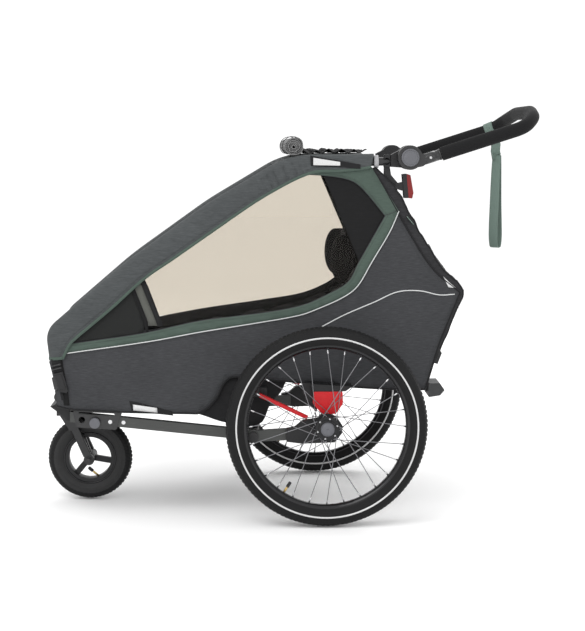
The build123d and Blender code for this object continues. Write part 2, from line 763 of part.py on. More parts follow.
def light_body():
    case = plate(LIGHT_BODY, HOOP_X - 15, HOOP_X + 15)
    ear = plate([(172, 830), (172, 843), (192, 848), (193, 824)], HOOP_X + 5.4, HOOP_X + 11)
    return (case + ear) - disc(LIGHT_PIVOT, 3 + RUN, 0, BIG)


def light_lens():
    return plate(LENS, HOOP_X - 15, HOOP_X + 15)


def brake_pedal():
    """Foot pedal on its pin between the bracket's cheeks."""
    tread = plate([(283, 313), (313, 314), (326, 295), (314, 281), (283, 276)], -42, 42, [3] * 5)
    arm = plate([(258, 300), (262, 316), (290, 312), (290, 284), (272, 292)], -16.5, 16.5)
    return (tread + arm) - disc(PEDAL_PIVOT, PIN_R + RUN, -BIG, BIG)


def lock_knob():
    head = disc(KNOB, 13, PLATE_OUT + 1, PLATE_OUT + 13)
    return head + disc(KNOB, KNOB_SHAFT_R, RAIL_OUT - 3, PLATE_OUT + 2)


# ---- Every node ----
save("side_rails", *rails())
save("cross_tubes", *cross_tubes())
save("caster_bracket", caster_bracket())
save("rear_stays", *pair(rear_stay()))
save("spring_seats", *[s for part in spring_seat() for s in pair(part)])
save("brake_brackets", *pair(brake_bracket()))
save("pivot_pins", *[s for p in (arm_pin(), hoop_pin(), rear_frame_pin()) for s in pair(p)])
save("hitch_plate", hitch_plate())
save("frame_screws", *screws())
save("front_bumper", front_bumper())
save("hoop_brackets", *pair(hoop_bracket()))
save("pedal_bracket", pedal_bracket())
save("floor_tub", *floor_tub())
save("side_windows", *pair(window()))
save("back_cover", back_cover())
save("seat_cushion", seat_cushion())
save("front_buckles", *pair(front_buckle()))
save("hood", hood())
save("cover_roll", *cover_roll())
save("hoop_tubes", *pair(hoop_tube()))
save("hoop_cross_tubes", *hoop_crosses())
save("hinge_housings", *pair(hinge_housing()))
save("lock_collars", *pair(lock_collar()))
save("rear_frame_tube", *rear_frame())
save("backrest_pad", *backrest_pad())
save("harness", *harness())
save("handlebar_tube", handlebar_tube())
save("grip_foam", grip_foam())
save("wrist_strap", wrist_strap())
save("light_clamp", light_clamp())
save("light_body", light_body())
save("light_lens", light_lens())
save("brake_pedal", brake_pedal())
save("lock_knob", lock_knob())
save("caster_fork", caster_fork())
save("front_axle", front_axle())
save("front_tyre", front_tyre())
save("front_rim", front_rim())

SIDED = {
    "side_panel": side_panel,
    "trailing_arm": trailing_arm,
    "hub_carrier": hub_carrier,
    "rubber_spring": rubber_spring,
    "leaf_spring": leaf_spring,
    "tyre": rear_tyre,
    "rim": rear_rim,
    "hub": rear_hub,
    "axle_button": axle_button,
    "hinge_button": hinge_button,
}
for name, make in SIDED.items():
    made = make()
    for side in SIDES:
        save(f"{name}_{side}", sided(made, side))

spokes = rear_spokes()
for side in SIDES:
    save(f"spokes_{side}", *[sided(s, side) for s in spokes])
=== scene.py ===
import math

import bmesh
import bpy
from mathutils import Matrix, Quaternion, Vector, noise
from mathutils.geometry import delaunay_2d_cdt


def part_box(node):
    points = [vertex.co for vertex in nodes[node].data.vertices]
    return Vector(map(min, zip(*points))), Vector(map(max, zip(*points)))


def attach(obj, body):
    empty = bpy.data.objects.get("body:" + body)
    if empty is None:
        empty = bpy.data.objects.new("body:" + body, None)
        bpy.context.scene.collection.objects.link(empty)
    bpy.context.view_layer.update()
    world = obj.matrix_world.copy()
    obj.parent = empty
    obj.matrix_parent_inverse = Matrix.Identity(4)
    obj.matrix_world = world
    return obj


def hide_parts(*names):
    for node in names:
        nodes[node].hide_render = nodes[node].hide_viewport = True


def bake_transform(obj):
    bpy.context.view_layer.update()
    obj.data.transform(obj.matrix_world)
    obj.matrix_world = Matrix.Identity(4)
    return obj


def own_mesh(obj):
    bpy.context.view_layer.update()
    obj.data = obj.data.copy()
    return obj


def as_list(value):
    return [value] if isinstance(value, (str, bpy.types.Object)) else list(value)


# Looks of the child bicycle trailer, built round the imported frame.
# Lengths in this script are millimetres unless a name ends in _M. P() turns them into the frame's metres,
# with y counted from the rear axle line and z from the ground, as the CAD part counts them.

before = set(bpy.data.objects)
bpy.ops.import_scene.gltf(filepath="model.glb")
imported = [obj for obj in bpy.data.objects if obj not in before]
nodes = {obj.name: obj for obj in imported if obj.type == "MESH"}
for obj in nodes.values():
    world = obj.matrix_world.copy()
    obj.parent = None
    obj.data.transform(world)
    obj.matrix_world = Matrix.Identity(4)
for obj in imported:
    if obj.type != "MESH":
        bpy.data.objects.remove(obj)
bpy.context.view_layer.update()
MM = 0.001
rim_low, rim_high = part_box("rim_left")
HUB_Y = (rim_low.y + rim_high.y) / 2 / MM
WHEEL_X = (rim_low.x + rim_high.x) / 2 / MM
SIDES = {"left": 1, "right": -1}


def P(x, y, z):
    return Vector((x, HUB_Y + y, z)) * MM


# ---- Camera and light ----
CAMERA_AT = (3880.2, -204.0, 943.1)
CAMERA_YAW, CAMERA_PITCH, CAMERA_ROLL = (math.radians(degrees) for degrees in (1.905, 6.668, 0.12))
CAMERA_LENS = 84.4


def make_camera():
    yaw, pitch = CAMERA_YAW, CAMERA_PITCH
    ahead = Vector((-math.cos(yaw) * math.cos(pitch), math.sin(yaw) * math.cos(pitch), -math.sin(pitch)))
    cam = bpy.data.objects.new("camera", bpy.data.cameras.new("camera"))
    bpy.context.scene.collection.objects.link(cam)
    cam.location = P(*CAMERA_AT)
    cam.rotation_mode = "QUATERNION"
    cam.rotation_quaternion = ahead.to_track_quat("-Z", "Y") @ Quaternion((0, 0, 1), CAMERA_ROLL)
    cam.data.lens = CAMERA_LENS
    cam.data.sensor_width = 36
    bpy.context.scene.camera = cam


def make_light(name, place_m, size_m, watts):
    data = bpy.data.lights.new(name, "AREA")
    data.energy, data.size = watts, size_m
    lamp = bpy.data.objects.new(name, data)
    bpy.context.scene.collection.objects.link(lamp)
    lamp.location = place_m
    lamp.rotation_mode = "QUATERNION"
    lamp.rotation_quaternion = (Vector((0, 0, 0.5)) - lamp.location).to_track_quat("-Z", "Y")


def make_stage():
    scene = bpy.context.scene
    scene.view_settings.view_transform = "Standard"
    world = bpy.data.worlds.new("studio")
    scene.world = world
    world.use_nodes = True
    world.node_tree.nodes["Background"].inputs["Color"].default_value = (1, 1, 1, 1)
    world.node_tree.nodes["Background"].inputs["Strength"].default_value = 1.1
    make_light("key", (2.2, -1.6, 3.2), 2.6, 60)
    make_light("side", (3.2, 1.6, 1.9), 1.6, 10)
    make_light("back", (-2.6, 1.5, 2.6), 2.4, 36)
    bpy.ops.mesh.primitive_plane_add(size=30)
    floor = bpy.context.object
    floor.name = "floor"
    mat = bpy.data.materials.new("pale_floor")
    mat.use_nodes = True
    shader = mat.node_tree.nodes["Principled BSDF"]
    shader.inputs["Base Color"].default_value = (0.98, 0.98, 0.98, 1)
    shader.inputs["Roughness"].default_value = 0.9
    floor.data.materials.append(mat)


# ---- Materials ----
class Look:
    """A material under construction: one Principled shader, coordinates in the object's own frame."""

    def __init__(self, name, rough=0.5, metal=0.0, **sockets):
        self.mat = bpy.data.materials.new(name)
        self.mat.use_nodes = True
        self.tree = self.mat.node_tree
        self.shader = self.tree.nodes["Principled BSDF"]
        self.shader.inputs["Roughness"].default_value = rough
        self.shader.inputs["Metallic"].default_value = metal
        for key, value in sockets.items():
            self.shader.inputs[key.replace("_", " ")].default_value = value
        self.coords = self.tree.nodes.new("ShaderNodeTexCoord").outputs["Object"]

    def node(self, kind, **inputs):
        n = self.tree.nodes.new(kind)
        for key, value in inputs.items():
            n.inputs[key].default_value = value
        return n

    def link(self, a, b):
        self.tree.links.new(a, b)

    def mapped(self, scale=(1, 1, 1), turn=(0, 0, 0)):
        m = self.node("ShaderNodeMapping", Scale=scale, Rotation=turn)
        self.link(self.coords, m.inputs["Vector"])
        return m.outputs["Vector"]

    def noise(self, scale, stretch=(1, 1, 1), detail=2.0, rough=0.5):
        n = self.node("ShaderNodeTexNoise", Scale=scale, Detail=detail, Roughness=rough)
        self.link(self.mapped(stretch), n.inputs["Vector"])
        return n.outputs["Fac"]

    def bands(self, spacing, turn=(0, 0, 0), distort=0.0):
        """Ridges along the turned X axis, spacing millimetres apart."""
        n = self.node("ShaderNodeTexWave", Scale=0.314 / (spacing * MM), Distortion=distort)
        self.link(self.mapped(turn=turn), n.inputs["Vector"])
        return n.outputs["Fac"]

    def maths(self, a, b, how):
        n = self.tree.nodes.new("ShaderNodeMath")
        n.operation = how
        for socket, value in zip(n.inputs, (a, b)):
            if isinstance(value, (int, float)):
                socket.default_value = value
            else:
                self.link(value, socket)
        return n.outputs[0]

    def ramp(self, fac, *stops):
        """stops are (position, colour)."""
        n = self.tree.nodes.new("ShaderNodeValToRGB")
        while len(n.color_ramp.elements) < len(stops):
            n.color_ramp.elements.new(0.5)
        for element, (place, colour) in zip(n.color_ramp.elements, stops):
            element.position = place
            element.color = (*colour, 1)
        self.link(fac, n.inputs["Fac"])
        return n.outputs["Color"]

    def times(self, a, b, share=1.0):
        n = self.tree.nodes.new("ShaderNodeMix")
        n.data_type, n.blend_type = "RGBA", "MULTIPLY"
        n.inputs["Factor"].default_value = share
        self.link(a, n.inputs["A"])
        self.link(b, n.inputs["B"])
        return n.outputs["Result"]

    def colour(self, socket):
        self.link(socket, self.shader.inputs["Base Color"])

    def roughness(self, fac, low, high):
        n = self.node("ShaderNodeMapRange")
        n.inputs["To Min"].default_value, n.inputs["To Max"].default_value = low, high
        self.link(fac, n.inputs["Value"])
        self.link(n.outputs["Result"], self.shader.inputs["Roughness"])

    def bump(self, *heights, strength=0.3, depth=0.3):
        """heights are added up; depth in millimetres."""
        total = heights[0]
        for h in heights[1:]:
            total = self.maths(total, h, "ADD")
        n = self.node("ShaderNodeBump", Strength=strength, Distance=depth * MM)
        self.link(total, n.inputs["Height"])
        self.link(n.outputs["Normal"], self.shader.inputs["Normal"])


def grey(v):
    return (v, v, v)


def scaled(colour, k):
    return tuple(c * k for c in colour)


QUARTER = math.pi / 2


def canvas(name, colour, contrast=0.2, thread=1.3, sheen=0.06):
    """Woven canvas: heathered streaks along the thread, a fine weave, and slow fading."""
    look = Look(name, rough=0.88, Sheen_Weight=sheen, Sheen_Roughness=0.5, Specular_IOR_Level=0.15)
    streaks = look.noise(480, stretch=(0.16, 0.1, 1.0), detail=4, rough=0.7)
    dark, light = scaled(colour, 1 - contrast), scaled(colour, 1 + 1.3 * contrast)
    heather = look.ramp(streaks, (0.34, dark), (0.52, colour), (0.7, light))
    fade = look.ramp(look.noise(9, detail=1), (0.3, grey(0.9)), (0.7, grey(1.0)))
    look.colour(look.times(heather, fade))
    warp = look.bands(thread, turn=(0, 0, QUARTER))
    weft = look.bands(thread, turn=(0, QUARTER, 0))
    across = look.bands(thread)
    look.roughness(streaks, 0.78, 0.96)
    look.bump(warp, weft, across, look.noise(500), strength=0.35, depth=0.25)
    return look.mat


def webbing(name, colour, rib=1.9):
    """Ribbed narrow webbing, its ribs level."""
    look = Look(name, rough=0.75, Sheen_Weight=0.05, Specular_IOR_Level=0.2)
    ribs = look.bands(rib, turn=(0, QUARTER, 0))
    look.colour(look.ramp(ribs, (0.0, scaled(colour, 0.62)), (0.55, colour), (1.0, scaled(colour, 1.18))))
    look.bump(ribs, look.noise(900), strength=0.6, depth=0.5)
    return look.mat


def mesh_fabric(name, colour, hole=2.4):
    """Knitted mesh: a net of small dark holes."""
    look = Look(name, rough=0.85, Sheen_Weight=0.04, Specular_IOR_Level=0.15)
    lattice = [look.bands(hole, turn=t) for t in ((QUARTER / 2, 0, QUARTER), (-QUARTER / 2, 0, QUARTER))]
    net = look.maths(*lattice, "MULTIPLY")
    look.colour(look.ramp(net, (0.02, scaled(colour, 0.35)), (0.3, colour), (0.9, scaled(colour, 1.3))))
    look.bump(net, look.noise(700), strength=0.5, depth=0.4)
    return look.mat


def moulded(name, colour, rough=0.5, grain=900, depth=0.12, coat=0.0):
    """Moulded plastic with a fine grain and slightly rubbed patches."""
    look = Look(name, rough=rough, Coat_Weight=coat, Coat_Roughness=0.15, Specular_IOR_Level=0.35)
    wear = look.noise(28, detail=4, rough=0.6)
    look.colour(look.ramp(wear, (0.3, scaled(colour, 0.88)), (0.62, colour), (0.8, scaled(colour, 1.2))))
    look.roughness(wear, rough - 0.08, rough + 0.08)
    look.bump(look.noise(grain, detail=2), strength=0.3, depth=depth)
    return look.mat


def metal(name, colour, rough=0.35, metalness=1.0, brushed=False):
    look = Look(name, rough=rough, metal=metalness)
    stretch = (1, 0.06, 1) if brushed else (1, 1, 1)
    grain = look.noise(700, stretch=stretch, detail=3)
    look.colour(look.ramp(grain, (0.3, scaled(colour, 0.86)), (0.7, scaled(colour, 1.08))))
    look.roughness(grain, rough - 0.07, rough + 0.09)
    look.bump(grain, strength=0.12, depth=0.08)
    return look.mat


def rubber(name, colour, rough=0.72):
    look = Look(name, rough=rough, Specular_IOR_Level=0.22)
    dust = look.noise(40, detail=5, rough=0.65)
    look.colour(look.ramp(dust, (0.3, scaled(colour, 0.8)), (0.6, colour), (0.85, scaled(colour, 1.5))))
    look.roughness(dust, rough - 0.12, rough + 0.13)
    look.bump(look.noise(1100), strength=0.25, depth=0.12)
    return look.mat


def foam(name, colour):
    look = Look(name, rough=0.93, Sheen_Weight=0.04, Specular_IOR_Level=0.15)
    cells = look.node("ShaderNodeTexVoronoi", Scale=1400)
    look.link(look.coords, cells.inputs["Vector"])
    look.colour(look.ramp(cells.outputs["Distance"], (0.0, scaled(colour, 0.7)), (0.6, scaled(colour, 1.15))))
    look.bump(cells.outputs["Distance"], look.noise(300), strength=0.4, depth=0.25)
    return look.mat


def film(name, colour, rough=0.03):
    """Clear tinted film: what is behind it shows through."""
    look = Look(name, rough=rough, Transmission_Weight=1.0, IOR=1.02, Coat_Weight=0.15, Coat_Roughness=0.08)
    look.shader.inputs["Base Color"].default_value = (*colour, 1)
    return look.mat


def reflector(name):
    """Silver reflective tape with a fine bead pattern."""
    look = Look(name, rough=0.35, metal=0.25)
    beads = look.node("ShaderNodeTexVoronoi", Scale=900)
    look.link(look.coords, beads.inputs["Vector"])
    look.colour(look.ramp(beads.outputs["Distance"], (0.1, grey(0.66)), (0.8, grey(0.5))))
    look.bump(beads.outputs["Distance"], strength=0.2, depth=0.1)
    return look.mat


def make_materials():
    return {
        # painted light and shade: the side and the hood are one mélange fabric in two copies; the hood's copy
        # is lighter as painted light on the upward-facing roof, and the side's copy is darker as painted shade
        "canvas": canvas("melange_canvas_side_shaded", (0.0452, 0.0462, 0.0497)),
        "hood": canvas("melange_canvas_hood_lit", (0.063, 0.068, 0.07)),
        "green": canvas("green_canvas", (0.066, 0.092, 0.077), contrast=0.1),
        "green_web": webbing("green_webbing", (0.15, 0.205, 0.178)),
        "black_web": webbing("black_webbing", (0.012, 0.012, 0.013), rib=1.6),
        "lining": canvas("black_lining", (0.011, 0.011, 0.0115), contrast=0.16, sheen=0.03),
        "cover": canvas("back_cover_canvas", (0.028, 0.028, 0.03), contrast=0.3),
        "net": mesh_fabric("black_net", (0.022, 0.023, 0.0225)),
        "grey_net": mesh_fabric("grey_net", (0.125, 0.128, 0.115)),
        "pan": canvas("floor_pan_canvas", (0.0156, 0.0156, 0.0164), contrast=0.16, sheen=0.03),
        "roll_net": mesh_fabric("grey_roll_net", (0.2, 0.2, 0.2), hole=3.0),
        "piping": webbing("reflective_piping", (0.62, 0.63, 0.63), rib=1.4),
        "pale_thread": webbing("pale_thread", (0.2, 0.27, 0.235), rib=1.2),
        "thread": webbing("sewing_thread", (0.05, 0.055, 0.055), rib=1.2),
        "film": film("tinted_film", (0.787, 0.75, 0.69)),
        "reflector": reflector("reflector_tape"),
        "powder": metal("black_powder_coat", (0.014, 0.014, 0.015), rough=0.42, metalness=0.0),
        "anodised": metal("grey_anodised", (0.06, 0.062, 0.06), rough=0.36, metalness=0.5, brushed=True),
        "rim": metal("black_anodised_rim", (0.01, 0.01, 0.011), rough=0.18, metalness=0.3),
        "spoke": metal("spoke_steel", (0.2, 0.2, 0.21), rough=0.3),
        "steel": metal("bright_steel", (0.62, 0.62, 0.63), rough=0.25),
        "brass": metal("valve_brass", (0.6, 0.42, 0.16), rough=0.3),
        "plastic": moulded("black_plastic", (0.011, 0.011, 0.012)),
        "satin": moulded("black_satin_plastic", (0.016, 0.016, 0.017), rough=0.3, coat=0.3),
        "grey_plastic": moulded("grey_plastic", (0.11, 0.112, 0.124), rough=0.5),
        "pedal": moulded("speckled_grey_plastic", (0.05, 0.052, 0.053), rough=0.55, grain=220, depth=0.5),
        "silver_plastic": moulded("silver_plastic", (0.34, 0.34, 0.35), rough=0.4),
        "tyre": rubber("tyre_rubber", (0.0082, 0.0082, 0.0086)),
        # painted light and shade: the front tyre's sidewall takes this lighter rubber and its tread takes the
        # darker tyre rubber, standing in for the tyre's gloss and shade
        "front_tyre": rubber("front_tyre_rubber", (0.024, 0.024, 0.0245), rough=0.5),
        "red": moulded("red_elastomer", (0.54, 0.0028, 0.0072), rough=0.45, grain=300, coat=0.1),
        "red_lens": moulded("red_lens", (0.17, 0.0008, 0.0012), rough=0.2, grain=200, depth=0.03, coat=0.35),
        "foam": foam("grip_foam", (0.01, 0.01, 0.0105)),
    }


make_camera()
make_stage()
MAT = make_materials()


# ---- Mesh tools ----
WELD_M = 0.00002


def new_object(name, verts, faces, weld=True, outward=True):
    """verts are in metres. weld joins points that coincide; outward turns a closed shape's faces outwards."""
    mesh = bpy.data.meshes.new(name)
    mesh.from_pydata([tuple(v) for v in verts], [], faces)
    bm = bmesh.new()
    if weld:
        mesh.validate()
    bm.from_mesh(mesh)
    if weld:
        bmesh.ops.remove_doubles(bm, verts=bm.verts, dist=WELD_M)
    if outward:
        bmesh.ops.recalc_face_normals(bm, faces=bm.faces)
    bm.to_mesh(mesh)
    bm.free()
    obj = bpy.data.objects.new(name, mesh)
    bpy.context.scene.collection.objects.link(obj)
    return obj


def piece(name, verts, faces, mat, body, slot, replaces=(), smooth=True, thick=0.0):
    """A mesh on a body, or on none for a piece that spans two.
    thick, in millimetres, gives a sheet its thickness."""
    obj = new_object(name, verts, faces, outward=not thick)
    if smooth:
        obj.data.shade_smooth()
    obj.data.materials.append(MAT[mat])
    if thick:
        solid = obj.modifiers.new("thickness", "SOLIDIFY")
        solid.thickness = thick * MM
        solid.offset = 0
    if body:
        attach(obj, body)
    if replaces:
        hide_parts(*replaces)
    return obj


def grid_faces(rows, cols, close_cols=False, first=0):
    """Faces of a grid of rows x cols points, listed row by row."""
    faces = []
    span = cols if close_cols else cols - 1
    for r in range(rows - 1):
        for c in range(span):
            d = (c + 1) % cols
            a, b = first + r * cols, first + (r + 1) * cols
            faces.append((a + c, a + d, b + d, b + c))
    return faces


def sheet_of(rows):
    """(verts, faces) of a sheet given as rows of points."""
    return [p for row in rows for p in row], grid_faces(len(rows), len(rows[0]))


def barrel(verts, turns):
    """(verts, faces) of a bar whose points are listed as rings of turns points each, with flat ends."""
    count = len(verts)
    faces = grid_faces(count // turns, turns, close_cols=True)
    return verts, faces + [tuple(range(turns))[::-1], tuple(range(count - turns, count))]


def hoop_faces(turns, n):
    """Faces of a ring of turns sections with n points each."""
    faces = []
    for k in range(turns):
        a, b = k * n, ((k + 1) % turns) * n
        for c in range(n):
            d = (c + 1) % n
            faces.append((a + c, b + c, b + d, a + d))
    return faces


def around(centre, x, r, a):
    """Point in metres at a radius and an angle about a side-view centre."""
    return P(x, centre[0] + r * math.cos(a), centre[1] + r * math.sin(a))


def smooth_line(keys, step, sharp=(), closed=False):
    """Points about step apart along a smooth line through keys. Keys whose index is in sharp stay corners."""
    keys = [Vector(k) for k in keys]
    n = len(keys)
    points = []
    for i in range(n if closed else n - 1):
        a, b = keys[i], keys[(i + 1) % n]
        before = keys[i - 1] if (closed or i > 0) and i not in sharp else a - (b - a)
        j = (i + 1) % n
        after = keys[(j + 1) % n] if (closed or j < n - 1) and j not in sharp else b + (b - a)
        length = (b - a).length
        cuts = max(1, round(length / step))
        ta = (b - before) * (length / max((b - before).length, 1e-6))
        tb = (after - a) * (length / max((after - a).length, 1e-6))
        for k in range(cuts):
            t = k / cuts
            h1, h2 = 2 * t**3 - 3 * t**2 + 1, t**3 - 2 * t**2 + t
            h3, h4 = -2 * t**3 + 3 * t**2, t**3 - t**2
            points.append(a * h1 + ta * h2 + b * h3 + tb * h4)
    if not closed:
        points.append(keys[-1])
    return points


def within(p, ring):
    """Whether a side-view point lies inside the ring."""
    hit = False
    for a, b in zip(ring, ring[1:] + ring[:1]):
        if (a[1] > p[1]) != (b[1] > p[1]):
            if p[0] < a[0] + (p[1] - a[1]) * (b[0] - a[0]) / (b[1] - a[1]):
                hit = not hit
    return hit


def gap_to(p, ring):
    """Distance from p to the nearest side of the ring."""
    best = 1e9
    for a, b in zip(ring, ring[1:] + ring[:1]):
        d = b - a
        t = max(0, min(1, (p - a).dot(d) / max(d.length_squared, 1e-9)))
        best = min(best, (a + d * t - p).length)
    return best


def fill(ring, step, holes=()):
    """Triangles that fill a side-view ring: (points, faces)."""
    rings = [ring, *holes]
    points, edges = [], []
    for r in rings:
        first = len(points)
        points += r
        edges += [(first + i, first + (i + 1) % len(r)) for i in range(len(r))]
    ys, zs = [p[0] for p in ring], [p[1] for p in ring]
    rows = int((max(zs) - min(zs)) / (step * 0.87)) + 1
    for i in range(rows):
        z = min(zs) + i * step * 0.87
        for j in range(int((max(ys) - min(ys)) / step) + 2):
            p = Vector((min(ys) + (j + 0.5 * (i % 2)) * step, z))
            if within(p, ring) and not any(within(p, h) for h in holes):
                if min(gap_to(p, r) for r in rings) > step * 0.55:
                    points.append(p)
    verts, _, faces, *_ = delaunay_2d_cdt(points, edges, [], 0, 0.001)
    kept = []
    for f in faces:
        c = sum((verts[i] for i in f), Vector((0, 0))) / len(f)
        if within(c, ring) and not any(within(c, h) for h in holes):
            kept.append(tuple(f))
    return verts, kept


def tube(path, r, turns=10, closed=False):
    """(verts, faces) of a round bar along path, in metres. r in millimetres, or one radius for each point."""
    radii = r if isinstance(r, (list, tuple)) else [r] * len(path)
    n = len(path)
    verts = []
    side = None
    for i, p in enumerate(path):
        ahead = path[(i + 1) % n] if closed else path[min(i + 1, n - 1)]
        behind = path[i - 1] if closed else path[max(i - 1, 0)]
        way = (ahead - behind).normalized()
        if side is None:
            side = way.orthogonal().normalized()
        side = (side - way * side.dot(way)).normalized()
        up = way.cross(side)
        for k in range(turns):
            a = 2 * math.pi * k / turns
            verts.append(p + (side * math.cos(a) + up * math.sin(a)) * radii[i] * MM)
    if not closed:
        return barrel(verts, turns)
    faces = grid_faces(n, turns, close_cols=True)
    last = (n - 1) * turns
    for k in range(turns):
        j = (k + 1) % turns
        faces.append((last + k, last + j, j, k))
    return verts, faces


def rod(foot, way, steps, radii, turns=12):
    """A turned bar from foot along way: its radius at each step, all in millimetres."""
    return tube([foot + way * step * MM for step in steps], radii, turns)


def ribbon(path, across, width, thick):
    """(verts, faces) of a flat strap along path; across is its width's direction, one or one per point."""
    n = len(path)
    verts = []
    edge = 0.82
    section = [(-1, 0), (-edge, 1), (edge, 1), (1, 0), (edge, -1), (-edge, -1)]
    for i, p in enumerate(path):
        way = (path[min(i + 1, n - 1)] - path[max(i - 1, 0)]).normalized()
        wide = Vector(across[i] if isinstance(across, list) else across).normalized()
        wide = (wide - way * wide.dot(way)).normalized()
        up = way.cross(wide)
        for u, v in section:
            verts.append(p + wide * u * width / 2 * MM + up * v * thick / 2 * MM)
    return barrel(verts, len(section))


def lathe(profile, centre, x, turns):
    """(verts, faces) of a closed profile of (x, radius) turned about the X axis through centre."""
    angles = [2 * math.pi * k / turns for k in range(turns)]
    verts = [around(centre, x + px, r, a) for a in angles for px, r in profile]
    return verts, hoop_faces(turns, len(profile))


def inset(ring, d):
    """The ring with each corner moved inwards by d."""
    area = sum(a.x * b.y - b.x * a.y for a, b in zip(ring, ring[1:] + ring[:1]))
    turn = 1 if area > 0 else -1
    moved = []
    for a, b, c in zip(ring[-1:] + ring[:-1], ring, ring[1:] + ring[:1]):
        u, v = (b - a).normalized(), (c - b).normalized()
        nu, nv = Vector((-u.y, u.x)) * turn, Vector((-v.y, v.x)) * turn
        mid = (nu + nv).normalized()
        moved.append(b + mid * d / max(mid.dot(nu), 0.5))
    return moved


def rounded_slab(outline, low, high, r, steps=3):
    """(verts, faces) of a side-view outline between x = low and high, its edges rounded by r."""
    ring = [Vector(p) for p in outline]
    angles = [math.pi / 2 * k / steps for k in range(steps + 1)]
    edge = [(low + r * (1 - math.sin(a)), r * (1 - math.cos(a))) for a in angles]
    layers = sorted([(low + high - x, d) for x, d in edge] + edge[::-1], key=lambda layer: -layer[0])
    return barrel([P(x, *p) for x, d in layers for p in inset(ring, d)], len(ring))


def merged(*parts):
    """Several (verts, faces) as one."""
    verts, faces = [], []
    for v, f in parts:
        first = len(verts)
        verts += list(v)
        faces += [tuple(i + first for i in face) for face in f]
    return verts, faces


def other_side(part):
    """The part's mirror image."""
    verts, faces = part
    return [Vector((-v.x, v.y, v.z)) for v in verts], [tuple(reversed(f)) for f in faces]


def on_side(part, side):
    return part if SIDES[side] > 0 else other_side(part)


def both_sides(*parts):
    """Parts made for the left side, merged with their mirror images."""
    return merged(*(on_side(part, side) for side in SIDES for part in parts))


def whole(half):
    """A left-to-middle row of points with its mirror image added."""
    return half + [Vector((-p.x, p.y, p.z)) for p in half[-2::-1]]


def height_on(line, y):
    """Value at y on a line of (y, value) points."""
    for a, b in zip(line, line[1:]):
        if a[0] <= y <= b[0]:
            return a[1] + (b[1] - a[1]) * (y - a[0]) / max(b[0] - a[0], 1e-6)
    return line[-1][1] if y > line[-1][0] else line[0][1]


def soft_steps(t):
    t = max(0.0, min(1.0, t))
    return t * t * (3 - 2 * t)


def ripple(y, z, size, seed=0.0):
    """Slow random value from -1 to 1 over the side view; size is the width of a bump."""
    return noise.noise(Vector((y / size, z / size, seed)))


# ---- Side layers ----
HOOD_SIDE = 224.6


def side_x(y, z, lift=0.0):
    """Distance of the side fabric from the middle plane, its layers lift apart."""
    middle = math.exp(-(((y + 190) / 330) ** 2) - ((z - 430) / 190) ** 2)
    crease = 0.7 * ripple(y, z * 1.8, 70, 3) + 0.35 * ripple(y * 1.5, z * 2.5, 26, 7)
    return 219.0 + 2.0 * middle + crease + lift


def on_side_fabric(p, lift):
    return P(side_x(p[0], p[1], lift), p[0], p[1])


def side_sheet(name, keys, step, mat, slot, side, lift, thick=0.8, sharp=None, holes=(), replaces=()):
    """A patch of the cabin's side, cut to the outline keys and laid on the side's shape.
    Gives the piece, its flat width and length, and its area."""
    corners = range(len(keys)) if sharp is None else sharp
    ring = smooth_line(keys, step, sharp=corners, closed=True)
    points, faces = fill(ring, step, holes)
    verts = [on_side_fabric(p, lift) for p in points]
    area_m2 = sum((verts[b] - verts[a]).cross(verts[c] - verts[a]).length / 2 for a, b, c in faces)
    width, length = (max(p[k] for p in points) - min(p[k] for p in points) for k in (0, 1))
    verts, faces = on_side((verts, faces), side)
    obj = piece(f"{name}_{side}", verts, faces, mat, "chassis", slot, replaces, thick=thick)
    return obj, (width * MM, length * MM), area_m2


SPARSE = 0.31  # a patch that covers less of its flat box than this is sewn from a strip
NARROW_M = 0.03


def declare_cut(obj, flat, area_m2, rests_on):
    """Works out a cut patch's flat size, a narrow frame or band counting as the strip that it is sewn from;
    nothing is kept.
    """
    if area_m2 < flat[0] * flat[1] * SPARSE:
        frame_like = area_m2 > NARROW_M * max(flat)
        long_m = 2 * max(flat) if frame_like else max(flat)
        flat = (area_m2 / long_m, long_m)
    min(area_m2, flat[0] * flat[1])
    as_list(rests_on)


def fold_chassis(obj):
    """Gives the fabric on the chassis a mesh of its own."""
    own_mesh(obj)


# Outlines are (y, z) points in order round the shape; a list ending in _SHARP has the indices of its corners.
PANEL = [(-671, 288.5), (-636, 280), (-560, 275.5), (-509, 272.5), (-320, 268), (-295, 282), (-269, 313)]
PANEL += [(-254, 344), (-233, 360), (-135, 352.5), (60, 335), (177, 328), (251, 327)]
PANEL += [(259, 351), (286, 442), (310, 504), (337, 572), (269, 630), (208, 721), (118, 876)]
PANEL += [(100, 892), (40, 888), (-62, 878), (-118, 851), (-293, 738), (-379, 678), (-531, 556)]
PANEL += [(-640, 462), (-688, 400), (-684, 384), (-673, 330)]
PANEL_SHARP = (0, 4, 12, 16, 20, 27)
PANEL_EDGE = 19  # the bound edge runs round to this corner
WINDOW = [(-634, 446), (-568, 455), (-452, 472.5), (-312, 503), (-148, 524), (-56, 542)]
WINDOW += [(1, 567), (55, 599), (80, 645), (146, 763), (84, 835), (54, 852), (-14, 862)]
WINDOW += [(-62, 862), (-124, 838), (-300, 720), (-538, 541), (-612, 478)]
WINDOW_SHARP = (0, 9)
GREEN_LOW = [(-643, 421.5), (-437, 451), (-313, 474), (-163, 498), (-64, 516), (-14, 534)]
GREEN_LOW += [(48, 563), (80, 589), (115, 649), (159, 724), (181, 775)]
GREEN_RING = [(-655, 414), *GREEN_LOW, (112, 884), (96, 893), (-30, 882), (-70, 872)]
GREEN_RING += [(-118, 845), (-293, 730), (-379, 670), (-531, 547), (-634, 461)]
LOWER_PIPING = [(-9, 487), (48.5, 517), (123, 549), (180, 574), (235, 576.5), (285.5, 566), (323, 568)]
FILM = [(-472, 616), (-428, 484), (-312, 496), (-148, 517), (-56, 535), (4, 561), (58, 594)]
